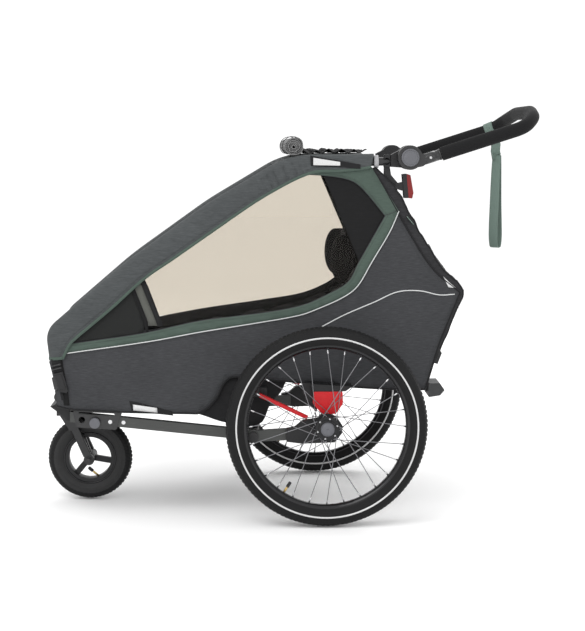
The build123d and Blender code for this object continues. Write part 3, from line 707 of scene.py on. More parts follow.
FILM += [(86, 640), (-8, 866), (-62, 866), (-124, 842), (-300, 726)]
FILM_SHARP = (0, 1, 7, 8, 9)
LINING = [(-455, 474), (-312, 503), (-148, 524), (-56, 542), (1, 567), (50, 598), (78, 650)]
LINING += [(-13, 861), (0, 874), (60, 864), (94, 842), (158, 762), (92, 636), (64, 586)]
LINING += [(6, 549), (-56, 522), (-148, 500), (-312, 474), (-460, 446)]
LINING_SHARP = (0, 5, 6, 7, 11, 17)
# How far the far window reaches forward or back, and down, at each y.
FAR_SPREAD = [(-640, 0), (-455, -36), (-400, -36), (-60, 12), (30, 22), (150, 0)]
FAR_DROP = [(-640, 0), (-455, -22), (-325, -22), (-158, -14.5), (60, -14.5), (150, 0)]
NET = [(-645, 440), (-568, 449), (-455, 467), (-450, 500), (-479, 592), (-545, 542), (-618, 478)]
GREY_STRIP = [(-482, 599), (-445, 504), (-441, 490), (-417, 490), (-423, 504), (-460, 600)]
BLACK_STRIP = [(-464, 609), (-423, 504), (-418, 488), (-404, 488), (-409, 504), (-449, 607)]
POST = [(-487, 586), (-452, 499), (-447, 470), (-440, 471), (-443, 502), (-479, 596)]


def seen_on(side, keys):
    """Window outlines: the far side's window reaches a little further down, forward and back."""
    if side == "left":
        return keys
    shifted = []
    for y, z in keys:
        share = max(0, min(1, (862 - z) / 300))
        shifted.append((y + height_on(FAR_SPREAD, y), z + height_on(FAR_DROP, y) * share))
    return shifted


def window_ring(side):
    return smooth_line(seen_on(side, WINDOW), 14, sharp=WINDOW_SHARP, closed=True)


def line_on_side(keys, lift, step=9.0, sharp=()):
    return [on_side_fabric(p, lift) for p in smooth_line(keys, step, sharp=sharp)]


def stitches(points, length=3.2, gap=1.6, r=0.42):
    """Short raised stitches along a line in metres."""
    parts = []
    run, at_m = [0.0], 0.0
    for a, b in zip(points, points[1:]):
        at_m += (b - a).length
        run.append(at_m)
    pitch, place = (length + gap) * MM, 0.0

    def point(d):
        i = max(k for k in range(len(run)) if run[k] <= d)
        i = min(i, len(points) - 2)
        t = (d - run[i]) / max(run[i + 1] - run[i], 1e-9)
        return points[i].lerp(points[i + 1], t)

    while place + length * MM < at_m:
        parts.append(tube([point(place), point(place + length * MM)], r, turns=5))
        place += pitch
    return merged(*parts)


TAG = [(-490, 301), (-468, 297), (-384, 274), (-380, 263), (-422, 268), (-484, 273)]
TAG_SILVER = [(-481, 292), (-421, 283), (-420, 271), (-480, 277)]
REAR_TAG = [(311, 596), (293, 613), (307, 585), (325, 584)]
REAR_SEAM = [(146, 765), (160, 769), (177, 776)]


def make_side(side):
    hole = window_ring(side)
    green_low = seen_on(side, GREEN_LOW)

    def patch(name, keys, step, mat, slot, lift, rests_on=(), **more):
        obj, flat, area = side_sheet(name, keys, step, mat, slot, side, lift, **more)
        if rests_on:
            declare_cut(obj, flat, area, rests_on)
        return obj

    panel = patch(
        "side_panel_cloth", PANEL, 15, "canvas", "body_fabric", 0, ["side_rails", "hoop_tubes"],
        thick=2.2, sharp=PANEL_SHARP, holes=[hole], replaces=[f"side_panel_{side}"],
    )
    green = patch(
        "window_surround", seen_on(side, GREEN_RING), 12, "green", "green_fabric", 1.7, [panel],
        thick=1.4, sharp=(0, 11, 12), holes=[inset(hole, -1.5)],
    )
    pane = patch(
        "window_film", seen_on(side, FILM), 16, "film", "film", -1.4, [panel],
        thick=0.6, sharp=FILM_SHARP, replaces=["side_windows"],
    )
    soft = [panel, green, pane]
    inner = [
        ("window_lining", LINING, "lining", "dark_fabric", LINING_SHARP, -2.6, [pane]),
        ("window_net", NET, "net", "dark_fabric", (0, 2, 4), -1.6, [pane]),
        ("window_grey_strip", GREY_STRIP, "grey_net", "body_fabric", None, -0.8, [pane]),
        ("window_black_strip", BLACK_STRIP, "black_web", "dark_fabric", None, -0.2, [pane]),
        ("window_post", POST, "lining", "dark_fabric", None, 0.0, ()),
    ]
    for name, keys, mat, slot, sharp, lift, under in inner:
        soft.append(patch(name, seen_on(side, keys), 12, mat, slot, lift, under, sharp=sharp))
    edge = smooth_line(PANEL, 9, sharp=PANEL_SHARP, closed=True)
    corner = min(range(len(edge)), key=lambda i: (edge[i] - Vector(PANEL[PANEL_EDGE])).length)
    bound = [on_side_fabric(p, 0.2) for p in edge[: corner + 1]]
    seams = []
    for keys, lift in ((green_low, 1.4), (LOWER_PIPING, 0.2)):
        seams.append(stitches(line_on_side([(y + 2, z - 6) for y, z in keys], lift)))
    seams.append(stitches([on_side_fabric(p, 2.5) for p in inset(hole, -6)]))
    seams.append(tube(line_on_side(REAR_SEAM, 2.6), 0.7, 6))
    seams.append(stitches([on_side_fabric(p, 1.2) for p in inset(edge, 9)[: corner - 4]]))
    trims = {
        "panel_binding": (tube(bound, 2.6, 8), "black_web", "dark_fabric"),
        "window_piping": (tube(line_on_side(green_low, 3.0), 1.3, 8), "piping", "silver"),
        "panel_piping": (tube(line_on_side(LOWER_PIPING, 1.7), 1.4, 8), "piping", "silver"),
        "side_stitching": (merged(*seams), "thread", "dark_fabric"),
    }
    for name, (mesh, mat, slot) in trims.items():
        soft.append(piece(f"{name}_{side}", *on_side(mesh, side), mat, "chassis", slot))
    soft.append(patch("lower_tag_backing", TAG, 8, "black_web", "dark_fabric", 1.9, thick=1.2))
    soft.append(patch("lower_tag_reflector", TAG_SILVER, 8, "reflector", "silver", 2.9))
    soft.append(patch("rear_tag_reflector", REAR_TAG, 6, "reflector", "silver", 2.0))
    for obj in soft:
        fold_chassis(obj)


for side in SIDES:
    make_side(side)


# ---- Hood ----
ROOF = [(-688, 405), (-696, 478), (-510, 638), (-301, 788), (-93, 912.3), (118, 915.3)]
ROOF_RADII = [20, 60, 900, 900, 220]
BINDING = [(-654, 408), (-633, 448), (-598, 479), (-531, 535), (-450, 608), (-379, 657), (-293, 717)]
BINDING += [(-177, 797), (-118, 832), (-65, 859), (-25, 872), (31, 874), (83, 879), (110, 884)]


def rounded_line(points, radii, step):
    """Points about step apart along a line whose inner corners are rounded."""
    points = [Vector(p) for p in points]
    out = [points[0]]
    for i in range(1, len(points) - 1):
        before, corner, after = points[i - 1 : i + 2]
        u, v = (before - corner).normalized(), (after - corner).normalized()
        half = math.acos(max(-1, min(1, u.dot(v)))) / 2
        reach = min(radii[i] / math.tan(half), 0.48 * min((before - corner).length, (after - corner).length))
        a, b = corner + u * reach, corner + v * reach
        for k in range(13):
            t = k / 12
            out.append(a * (1 - t) ** 2 + corner * 2 * t * (1 - t) + b * t * t)
    out.append(points[-1])
    return even(out, step)


def even(points, step):
    """The same line with its points evenly spaced."""
    run = [0.0]
    for a, b in zip(points, points[1:]):
        run.append(run[-1] + (b - a).length)
    count = max(2, round(run[-1] / step))
    out, j = [], 0
    for k in range(count + 1):
        d = run[-1] * k / count
        while j < len(run) - 2 and run[j + 1] < d:
            j += 1
        t = (d - run[j]) / max(run[j + 1] - run[j], 1e-9)
        out.append(points[j].lerp(points[j + 1], t))
    return out


GATHER_Y, GATHER_REACH = -112, 62


def crinkle(y, x, z):
    """Gathered wrinkles where the hood's sides meet the roof, and soft waves elsewhere."""
    gather = math.exp(-(((y - GATHER_Y) / GATHER_REACH) ** 2))
    lines = 1 - 2 * (1 - abs(math.sin((y + z * 0.35 + 16 * ripple(y, z, 50, 2)) / 6.4))) ** 2
    slow = ripple(y * 0.8, z + x * 0.6, 85, 11)
    return 2.7 * gather * lines + 1.5 * slow + 0.5 * ripple(y * 2, z * 2 + x, 30, 5)


HOOD_BEND = 17.0
FLAP_ROWS, BEND_ROWS, ROOF_COLS = 9, 5, 16  # rows of points on the side flap, round the bend, and over the roof
ROOF_FROM = -128.0  # the roof is closed behind this, and open in front of it
SILL = 446.0  # the front opening's lower edge
# The sleeve round the hoop tube beside the opening: distance from the middle plane, depth below the roof.
SLEEVE = [(198, 0.5), (189, 1.5), (181, 6), (177, 13), (176.5, 22), (180, 31), (188, 36)]
SLEEVE += [(200, 37.5), (212, 37)]


def hood_stations(step=3.4):
    """(roof point, binding point, inward direction) for each cross-section, front to rear."""
    roof = rounded_line(ROOF, ROOF_RADII, step)
    low = smooth_line(BINDING, 5)
    stations, reached = [], 0
    for i, r in enumerate(roof):
        ahead, behind = roof[min(i + 1, len(roof) - 1)], roof[max(i - 1, 0)]
        way = (ahead - behind).normalized()
        inward = Vector((way.y, -way.x))
        best = min(range(len(low)), key=lambda k: (low[k] - r).length + 0.35 * abs((low[k] - r).dot(way)))
        reached = max(reached, best)
        steady = low[round(i / (len(roof) - 1) * (len(low) - 1))]
        stations.append((r, low[reached].lerp(steady, 0.25), inward))
    return stations


def hood_section(station, open_front):
    """Cross-section points from the hood's lower edge up over the tube, in metres, left side."""
    r, b, inward = station
    down = b - r
    tall = down.length
    way = down / tall
    points = []
    bend = min(HOOD_BEND, tall * 0.45)
    for k in range(FLAP_ROWS + 1):
        d = tall - (tall - bend) * k / FLAP_ROWS
        y, z = r + way * d
        puff = 1.6 * math.sin(math.pi * k / FLAP_ROWS)
        x = HOOD_SIDE + puff + crinkle(y, 0, z) * min(1, k / 3)
        points.append(P(x, y, z))
    for k in range(1, BEND_ROWS + 1):
        t = k / BEND_ROWS
        a = math.pi / 2 * t
        d = bend * (1 - math.sin(a))
        y, z = r + way * d * (1 - t) + inward * d * t
        x = HOOD_SIDE - bend * (1 - math.cos(a))
        points.append(P(x + 0.4 * crinkle(y, x, z), y, z))
    top_x = HOOD_SIDE - bend
    if open_front:
        for x, depth in SLEEVE:
            y, z = r + inward * depth
            points.append(P(x, y, z))
        return points
    for k in range(1, ROOF_COLS + 1):
        x = top_x * (1 - k / ROOF_COLS)
        sag = 5.0 * (1 - (x / top_x) ** 2) + 1.4 * crinkle(r.x * 1.2, x, r.y)
        y, z = r + inward * max(-1.5, sag)
        points.append(P(x, y, z))
    return points


def hood_cloth():
    stations = hood_stations()
    beside = [s for s in stations if s[0].x < ROOF_FROM + 8 and s[0].y > SILL - 8]
    across = [s for s in stations if s[0].y < SILL + 4], [s for s in stations if s[0].x >= ROOF_FROM - 4]
    sleeves = both_sides(sheet_of([hood_section(s, True) for s in beside]))
    return merged(sleeves, *(sheet_of([whole(hood_section(s, False)) for s in group]) for group in across))


def front_wall():
    """Front of the cabin below the opening: one sheet from side to side, turned round its corners."""
    low, top, flat_half, bend = 290, 412, 206, 16
    rows = []
    for y, z in smooth_line([(-663, low), (-667, 330), (-676, 384), (-680, top)], 10):
        t = (z - low) / (top - low)
        half = []
        for k in range(15):
            x = flat_half * k / 14
            bow = 6 * (1 - (x / flat_half) ** 2) * math.sin(math.pi * min(1, t + 0.1))
            half.append(P(x, y + bow + 1.6 * ripple(x, z, 60, 21) + 2, z))
        for k in range(1, 5):
            a = math.pi / 2 * k / 4
            half.append(P(flat_half + bend * math.sin(a), y + 2 + bend * (1 - math.cos(a)), z))
        half += [P(222.2, y + 24, z)]
        rows.append([Vector((-p.x, p.y, p.z)) for p in half[:0:-1]] + half)
    return sheet_of(rows)


def make_hood():
    cloth = piece("hood_cloth", *hood_cloth(), "hood", "roof_frame", "body_fabric", ["hood"], thick=1.8)
    wall = piece("front_wall_cloth", *front_wall(), "lining", "chassis", "dark_fabric", thick=1.6)
    fold_chassis(wall)


def make_hood_seams():
    """Green binding along the hood's lower and front edges, and its stitching."""
    hem = []
    corner_from, corner_size = 195, 28
    for p in whole(hood_section(hood_stations()[0], False)):
        turn = max(0.0, min(1.0, (abs(p.x) / MM - corner_from) / corner_size))
        out = Vector((math.copysign(turn, p.x), turn - 1, 0)).normalized()
        hem.append(p + out * 1.4 * MM + Vector((0, 0, 0.002)))
    stations = hood_stations(9)
    edge = ribbon([P(HOOD_SIDE + 1.2, *low) for _, low, _ in stations], (0, -0.62, 0.78), 7.5, 2.2)
    binding = merged(both_sides(edge), ribbon(hem, (0, 0, 1), 8, 2.2))
    piece("hood_green_binding", *binding, "green", "roof_frame", "green_fabric")
    above = [P(HOOD_SIDE + 2.6, *(low + (roof - low).normalized() * 10)) for roof, low, _ in stations]
    along = []
    for roof, low, inward in stations:
        if roof.x < ROOF_FROM - 4:
            along.append(P(HOOD_SIDE - 1.0, *(roof + (low - roof).normalized() * 14 + inward)))
    seams = both_sides(stitches(above[1:-1]), tube(along, 1.1, 6))
    piece("hood_stitching", *seams, "thread", "roof_frame", "dark_fabric")


def make_roof_tags():
    black = [(-40, 912), (-8, 906), (84, 890), (84, 879), (40, 883), (-38, 886)]
    silver = [(-32, 906), (34, 896), (34, 887), (-32, 888)]
    backing = both_sides(rounded_slab(black, 226.6, 229.0, 0.8))
    piece("roof_tag_backing", *backing, "black_web", "roof_frame", "dark_fabric")
    tape = both_sides(rounded_slab(silver, 228.6, 230.0, 0.5))
    piece("roof_tag_reflector", *tape, "reflector", "roof_frame", "silver")


make_hood()
make_hood_seams()
make_roof_tags()


# ---- Rolled-up front cover ----
ROLL = (-80.0, 933.5)
ROLL_R = 23.5
ROLL_CORE = 2.6
ROLL_HALF, STRIP_HALF = 209, 198  # half widths of the roll and of the rain layer
ROOF_Z = 913.8  # under the roll


def roll_section(turns, wobble):
    """Spiral of the rolled cover in side view, from its core out."""
    points = []
    count = int(turns * 26)
    for k in range(count + 1):
        a = 2 * math.pi * turns * k / count
        r = ROLL_CORE + (ROLL_R - ROLL_CORE) * k / count
        r += 1.5 * ripple(math.cos(a) * 40 + wobble, math.sin(a) * 40 + r * 3, 30, 31) * (0.5 + k / count)
        y = ROLL[0] + r * math.cos(a) * 1.02
        z = ROLL[1] + r * math.sin(a) * 0.96
        points.append((y, max(z, ROOF_Z)))
    return points


def make_roll():
    """The front cover rolled up across the roof, the folded rain layer behind it, and two webbing loops."""
    rows = []
    for k in range(37):
        x = -ROLL_HALF + 2 * ROLL_HALF * k / 36
        rows.append([P(x + 1.5 * math.sin(j / 9), *p) for j, p in enumerate(roll_section(5.2, x * 0.05))])
    sheet = sheet_of(rows)
    roll = piece("cover_roll_cloth", *sheet, "roll_net", "roof_frame", "dark_fabric", thick=3.1)
    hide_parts("cover_roll")
    rows = []
    for i in range(81):
        y = -58 + 160 * i / 80
        floor_z = 916.0 + 0.014 * (y + 93)
        row = []
        for k in range(33):
            x = -STRIP_HALF + 2 * STRIP_HALF * k / 32
            wave = 5.4 * math.sin(y / 5.2 + 2.6 * ripple(x, y, 60, 17)) + 5.0 * ripple(x, y * 1.4, 26, 9)
            row.append(P(x, y, max(921.0 + 0.014 * y + wave * (1 - 0.4 * i / 80), floor_z)))
        rows.append(row)
    strip = piece("cover_strip_cloth", *sheet_of(rows), "lining", "roof_frame", "dark_fabric", thick=1.4)
    loops = []
    for x in (-128, 128):
        ring = []
        for k in range(33):
            a = 2 * math.pi * k / 32
            z = ROLL[1] + (ROLL_R + 2.2) * math.sin(a) * 0.97
            ring.append(P(x, ROLL[0] + (ROLL_R + 2.2) * math.cos(a), max(z, 914.4)))
        loops.append(ribbon(ring, (1, 0, 0), 15, 1.5))
        tail = [(-64, 934), (-52, 928), (-30, 922), (-6, 922.5), (12, 924)]
        loops.append(ribbon([P(x, *p) for p in tail], (1, 0, 0), 13, 1.4))
    piece("cover_roll_loops", *merged(*loops), "black_web", "roof_frame", "dark_fabric")


make_roll()


# ---- Back cover, floor pan and deck ----
COVER = [(122, 880), (150, 856), (190, 800), (225, 735), (262, 675), (300, 622), (338, 584)]
COVER += [(345, 566), (318, 504), (294, 442), (262, 372), (230, 336)]
PANEL_REAR = [(330, 252), (351, 259), (442, 286), (504, 310), (572, 337), (630, 269), (721, 208), (876, 118)]
COVER_COLS = 28
INNER_HALF = 214  # half the width between the side panels


def cover_row(line, i):
    """One level of the back cover, from the middle to where it meets the side panel's edge."""
    y, z = line[i]
    t = i / (len(line) - 1)
    way = (line[min(i + 1, len(line) - 1)] - line[max(i - 1, 0)]).normalized()
    out = Vector((abs(way.y), 0.0 if way.y > 0 else abs(way.x))).normalized()
    row = []
    for k in range(COVER_COLS + 1):
        x = INNER_HALF * k / COVER_COLS
        u = x / INNER_HALF
        full = math.sin(math.pi * min(1, t * 1.02)) * (1 - u * u)
        gathered = 0.7 + 2.2 * soft_steps((t - 0.5) / 0.3)
        pleat = math.sin(x / 7.0 + 3 * ripple(x, z, 60, 41)) * gathered * (1 - u**10)
        fold = 4.0 * ripple(x * 0.8, z * 1.9, 62, 43) + 2.0 * ripple(x * 1.5, z * 3.2, 30, 47)
        q = line[i] + out * (9 * full + pleat + fold)
        row.append((x, q.x, q.y))
    edge = height_on(PANEL_REAR, z)
    x, y, z = row[-1]
    for k in range(1, 8):
        a = k / 7
        lump = 1.6 * math.sin(math.pi * a) * ripple(y * 2, z * 2, 34, 44)
        x = INNER_HALF + 3.4 * math.sin(math.pi / 2 * min(1, 2 * a)) + lump
        row.append((x, y + (edge - 7 - y) * a, z - 5 * a))
    return [P(*p) for p in row]


def make_back_cover():
    """Gathered cover of the luggage space. It hangs between chassis and hoop, so it is on no body."""
    line = smooth_line(COVER, 9, sharp=(0,))
    rows = [whole(cover_row(line, i)[::-1]) for i in range(len(line))]
    sheet = sheet_of(rows)
    cover = piece("back_cover_cloth", *sheet, "cover", None, "body_fabric", ["back_cover"], thick=1.6)
    trims = []
    for u in (-1, 1):
        seam = [row[len(row) // 2 + u * COVER_COLS] + Vector((0, 0.001, 0.0012)) for row in rows]
        trims.append(tube(seam, 2.2, 8))
    for share in (0.4, 0.66):
        row = rows[int(share * (len(rows) - 1))]
        trims.append(ribbon([p + Vector((0, 0.0022, 0.0012)) for p in row[8:-8]], (0, -0.5, 0.85), 10, 1.6))
    trim = piece("back_cover_trim", *merged(*trims), "black_web", None, "dark_fabric")
    tab = ribbon([P(219.5, 201, 762), P(221, 208, 753), P(219.5, 217, 743)], (1, 0, 0), 16, 1.8)
    tabs = piece("back_cover_tabs", *both_sides(tab), "green_web", None, "green_fabric")
    for obj in (cover, trim, tabs):
        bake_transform(obj)


make_back_cover()

TUB = [(-634, 334), (-637, 296), (-628, 287.5), (-509, 279), (-381, 273.5), (-322, 265)]
TUB += [(-250, 242), (-166, 237), (-138, 287), (-112, 318), (-99, 344), (60, 336)]
TUB += [(177, 331.5), (226, 331)]
RIM = [(-640, 331), (-284, 331), (-242, 371), (-90, 368), (226, 345)]


def make_floor():
    line = smooth_line(TUB, 11, sharp=(0, 1, 10))
    rows = []
    for y, z in line:
        top = max(height_on(RIM, y), z + 3)
        bend = min(15, top - z)
        half = [P(INNER_HALF, y, top - (top - z - bend) * k / 4) for k in range(4)]
        for k in range(6):
            a = math.pi / 2 * k / 5
            half.append(P(INNER_HALF - bend * (1 - math.cos(a)), y, z + bend * (1 - math.sin(a))))
        for k in range(1, 15):
            x = (INNER_HALF - bend) * (1 - k / 14)
            sag = 3.5 * (1 - (x / 200) ** 2) + 1.2 * ripple(x, y, 60, 51)
            half.append(P(x, y, z + 1.5 - min(sag, 4.0)))
        rows.append(whole(half))
    cloth = piece("floor_cloth", *sheet_of(rows), "pan", "chassis", "body_fabric", ["floor_tub"], thick=1.8)
    deck = [(-329, 348.4), (-105, 348.4), (-105, 351.8), (-329, 351.8)]
    board = piece("seat_board", *rounded_slab(deck, -186, 186, 1.2), "satin", "chassis", "black_plastic")
    for obj in (cloth, board):
        fold_chassis(obj)


make_floor()


# ---- Cushions ----
def padded_block(rows, cols, front, back):
    """Closed block between two functions of (row share, column share) that give points in metres."""
    verts, faces = [], []
    for shape in (front, back):
        verts += [shape(r / rows, c / cols) for r in range(rows + 1) for c in range(cols + 1)]
    n = cols + 1
    half = (rows + 1) * n
    faces += grid_faces(rows + 1, n)
    faces += [tuple(reversed(f)) for f in grid_faces(rows + 1, n, first=half)]
    ring = list(range(n)) + [r * n + cols for r in range(1, rows + 1)]
    ring += [rows * n + c for c in range(cols - 1, -1, -1)] + [r * n for r in range(rows - 1, 0, -1)]
    for a, b in zip(ring, ring[1:] + ring[:1]):
        faces.append((b, a, a + half, b + half))
    return verts, faces


def freeze(obj):
    """Applies the modifiers to the mesh."""
    graph = bpy.context.evaluated_depsgraph_get()
    graph.update()
    done = bpy.data.meshes.new_from_object(obj.evaluated_get(graph))
    obj.modifiers.clear()
    old, obj.data = obj.data, done
    bpy.data.meshes.remove(old)


SWELL_FRAMES = 20


def inflate(name, mesh_data, cap, floor_z=None, voxel=5.0):
    """The closed shape blown up as cloth by its filling. cap is how far a point may move, in millimetres."""
    obj = new_object(name, *mesh_data, weld=False)
    remesh = obj.modifiers.new("remesh", "REMESH")
    remesh.mode, remesh.voxel_size = "VOXEL", voxel * MM
    smooth = obj.modifiers.new("soften", "SMOOTH")
    smooth.factor, smooth.iterations = 0.5, 4
    freeze(obj)
    start = [v.co.copy() for v in obj.data.vertices]
    cloth = obj.modifiers.new("cloth", "CLOTH")
    cloth.settings.quality = 5
    cloth.settings.use_pressure = True
    cloth.settings.uniform_pressure_force = 4.0
    cloth.settings.effector_weights.gravity = 0
    cloth.settings.tension_stiffness = 20
    cloth.settings.bending_stiffness = 2
    cloth.point_cache.frame_start, cloth.point_cache.frame_end = 1, SWELL_FRAMES
    scene = bpy.context.scene
    for f in range(1, SWELL_FRAMES + 1):
        scene.frame_set(f)
    freeze(obj)
    scene.frame_set(1)
    for v, was in zip(obj.data.vertices, start):
        step = v.co - was
        if step.length > cap * MM:
            v.co = was + step.normalized() * cap * MM
        if floor_z is not None and v.co.z < floor_z * MM:
            v.co.z = floor_z * MM
    return obj


def groove(obj, depth, width, *channels):
    """Sewn channels: points near a channel move inwards, along their normals.
    Each channel gives a point's distance from it, in metres."""
    for v in obj.data.vertices:
        gap = min(channel(v.co) for channel in channels)
        if gap < width * 2.5 * MM:
            v.co -= v.normal * depth * MM * math.exp(-((gap / (width * MM)) ** 2))


def finish_pad(obj, mat, body, replaces=()):
    obj.data.materials.clear()
    obj.data.materials.append(MAT[mat])
    obj.data.shade_smooth()
    sub = obj.modifiers.new("finer", "SUBSURF")
    sub.levels = sub.render_levels = 1
    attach(obj, body)
    if replaces:
        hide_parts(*replaces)


SEAT_HALF = 154


def make_seat():
    def face_at(z_of):
        def shape(r, c):
            y = -320 + 305 * r
            x = -SEAT_HALF + 2 * SEAT_HALF * c
            pull = 5 * (math.sin(math.pi * r) + math.sin(math.pi * c))
            x *= 1 - 0.012 * math.sin(math.pi * r)
            return P(x, y + (1.5 if r < 0.5 else -1.5) * math.sin(math.pi * c), z_of(r) + 0.1 * pull)
        return shape

    top = face_at(lambda r: 388 - 3 * r)
    low = face_at(lambda r: 356)
    pad = inflate("seat_pad", padded_block(8, 9, top, low), cap=8, floor_z=352.6)
    crease, upper_m, away_m = P(0, -165, 0), 0.37, 1
    lines = [
        lambda co: abs(co.y - crease.y) if co.z > upper_m else away_m,
        lambda co: abs(abs(co.x) - 0.055) if co.z > upper_m else away_m,
    ]
    groove(pad, 4.5, 4.5, *lines)
    finish_pad(pad, "lining", "chassis", ["seat_cushion"])
    fold_chassis(pad)
    corners = [P(x, y, 381) for x, y in ((-156, -321), (156, -321), (156, -14), (-156, -14))]
    ring = []
    for a, b in zip(corners, corners[1:] + corners[:1]):
        ring += [a.lerp(b, k / 12) for k in range(12)]
    cord = piece("seat_edge_piping", *tube(ring, 1.8, 8, closed=True), "black_web", "chassis", "dark_fabric")
    fold_chassis(cord)


PAD_REAR = [(2, 404), (92, 566), (97, 690), (76, 846)]
PAD_THICK = 24.0
BACK_HALF = 155


def pad_line(shift, step):
    return [Vector((p[0] + shift, p[1])) for p in smooth_line(PAD_REAR, step)]


def pad_front(channel):
    """The channel on the backrest's front half only."""
    line = [(z, y) for y, z in PAD_REAR]
    away_m = 1

    def shown(co):
        middle = P(0, height_on(line, co.z / MM) - PAD_THICK / 2, 0).y
        return channel(co) if co.y < middle else away_m
    return shown


def make_backrest():
    line = even(pad_line(0, 6), 12)

    def face_at(depth):
        def shape(r, c):
            p = line[round(r * (len(line) - 1))]
            half = BACK_HALF - 10 * soft_steps((r - 0.86) / 0.14)
            return P(-half + 2 * half * c, p.x - depth, p.y + (3 - 6 * r))
        return shape

    pad = inflate("backrest_cushion", padded_block(len(line) - 1, 14, face_at(19), face_at(5)), cap=7)
    channels = [lambda co, z=z: abs(co.z - z * MM - 0.3 * co.x**2) for z in (474, 545, 616, 742)]
    channels.append(lambda co: abs(abs(co.x) - 0.098))
    groove(pad, 4.0, 4.5, *map(pad_front, channels))
    finish_pad(pad, "lining", "backrest_frame", ["backrest_pad"])
    # The wings' sections from the cushion outwards: distance from the middle plane, share of the full size.
    layers = [(121.5, 0.55), (124, 0.85), (131, 1.0), (147, 1.0), (154, 0.86), (157, 0.6)]
    turns = 36
    for side in SIDES:
        verts = []
        for x, k in layers:
            for j in range(turns):
                a = 2 * math.pi * j / turns
                verts.append(P(x, min(46 + 30 * k * math.cos(a), 76), 650 + 63 * k * math.sin(a)))
        wing = inflate(f"head_wing_{side}", on_side(barrel(verts, turns), side), cap=4)
        finish_pad(wing, "lining", "backrest_frame", ())


make_seat()
make_backrest()


BELT_X = 60  # from the middle plane to a shoulder belt


def make_harness():
    line = [p for p in pad_line(-PAD_THICK - 5.5, 9) if 436 < p.y < 828]
    shoulder = ribbon([P(BELT_X, p.x - 1.5 * math.sin(p.y / 23), p.y) for p in line], (1, 0, 0), 30, 2)
    waist = ribbon([P(52, -26, 440), P(38, -36, 448), P(24, -36, 455)], (0.3, 0, 1), 24, 2)
    crotch = ribbon([P(0, -40, 402), P(0, -38, 425), P(0, -34, 446)], (1, 0, 0), 26, 2.4)
    belts = merged(both_sides(shoulder, waist), crotch)
    piece("harness_belts", *belts, "black_web", "backrest_frame", "dark_fabric", ["harness"])
    low, high = 600, 770
    section = [(-1, 0), (-0.9, -4), (-0.4, -6.5), (0.4, -6.5), (0.9, -4), (1, 0), (0.9, 1.5), (-0.9, 1.5)]
    for side in SIDES:
        verts = []
        for p in line:
            if low < p.y < high:
                half = 26 * (0.75 + 0.25 * math.sin(math.pi * (p.y - low) / (high - low)))
                verts += [P(BELT_X + half * u, p.x - 3 + d, p.y) for u, d in section]
        sleeve = inflate(f"shoulder_pad_{side}", on_side(barrel(verts, len(section)), side), cap=4, voxel=4)
        finish_pad(sleeve, "canvas", "backrest_frame", ())
    body = [(-40, 440), (-30, 440), (-28, 470), (-31, 476), (-38, 476), (-41, 470)]
    knob = [(-44, 449), (-40.5, 449), (-40.5, 465), (-44, 465)]
    shells = ("buckle", body, 24, 2.5, "plastic"), ("button", knob, 9, 1.4, "red")
    for name, outline, half, r, mat in shells:
        slab = rounded_slab(outline, -half, half, r)
        piece(f"harness_{name}", *slab, mat, "backrest_frame", "black_plastic", smooth=False)


make_harness()


# ---- Buckles at the cabin's corners ----
def make_front_buckles():
    body = [(-677, 371), (-654, 376), (-646, 350), (-640.5, 329), (-645, 322), (-664, 326), (-669, 345)]
    face = [(-673, 366), (-657, 370), (-646, 334), (-663, 331)]
    latch = [(-682, 360), (-672, 364), (-664, 334), (-670, 329), (-676, 331)]
    low_bar = [(-681, 382), (-657, 388), (-656, 384.5), (-680, 378.5)]
    top_bar = [(-680, 391.5), (-659, 397), (-658, 393), (-679, 388)]
    up = [P(225.2, -664, 366), P(225.8, -668, 384), P(225.2, -670, 396), P(224.4, -671, 408)]
    down = [P(219.5, -661, 334), P(219.8, -660, 318), P(219.5, -658, 303)]
    bodies = both_sides(rounded_slab(body, 223.6, 231.5, 2.2), rounded_slab(face, 230.5, 233.5, 1.2))
    bars = [rounded_slab(bar, 226.5, 229.5, 1.0) for bar in (low_bar, top_bar)]
    clips = both_sides(rounded_slab(latch, 214, 226, 1.8), *bars)
    belts = both_sides(ribbon(up, (0, 1, 0.2), 23, 2), ribbon(down, (0.5, 1, 0), 15, 2))
    shown = [
        piece("front_buckle_bodies", *bodies, "plastic", "chassis", "black_plastic", smooth=False),
        piece("front_buckle_clips", *clips, "satin", "chassis", "black_plastic", smooth=False),
        piece("front_buckle_webbing", *belts, "black_web", "chassis", "dark_fabric"),
    ]
    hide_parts("front_buckles")
    for obj in shown:
        fold_chassis(obj)


def make_rear_buckles():
    """Small buckle at each rear edge of the side panel."""
    body = [(276, 432), (286, 431), (293.5, 419), (283, 391), (266, 396)]
    rib = [(283, 420), (290, 418), (286, 407), (279, 409)]
    bodies = both_sides(rounded_slab(body, 213, 218.5, 1.8), rounded_slab(rib, 218, 220, 0.7))
    fold_chassis(piece("rear_buckle_bodies", *bodies, "plastic", "chassis", "black_plastic", smooth=False))


make_front_buckles()
make_rear_buckles()


# ---- Wrist strap ----
WEBBING = 26  # width


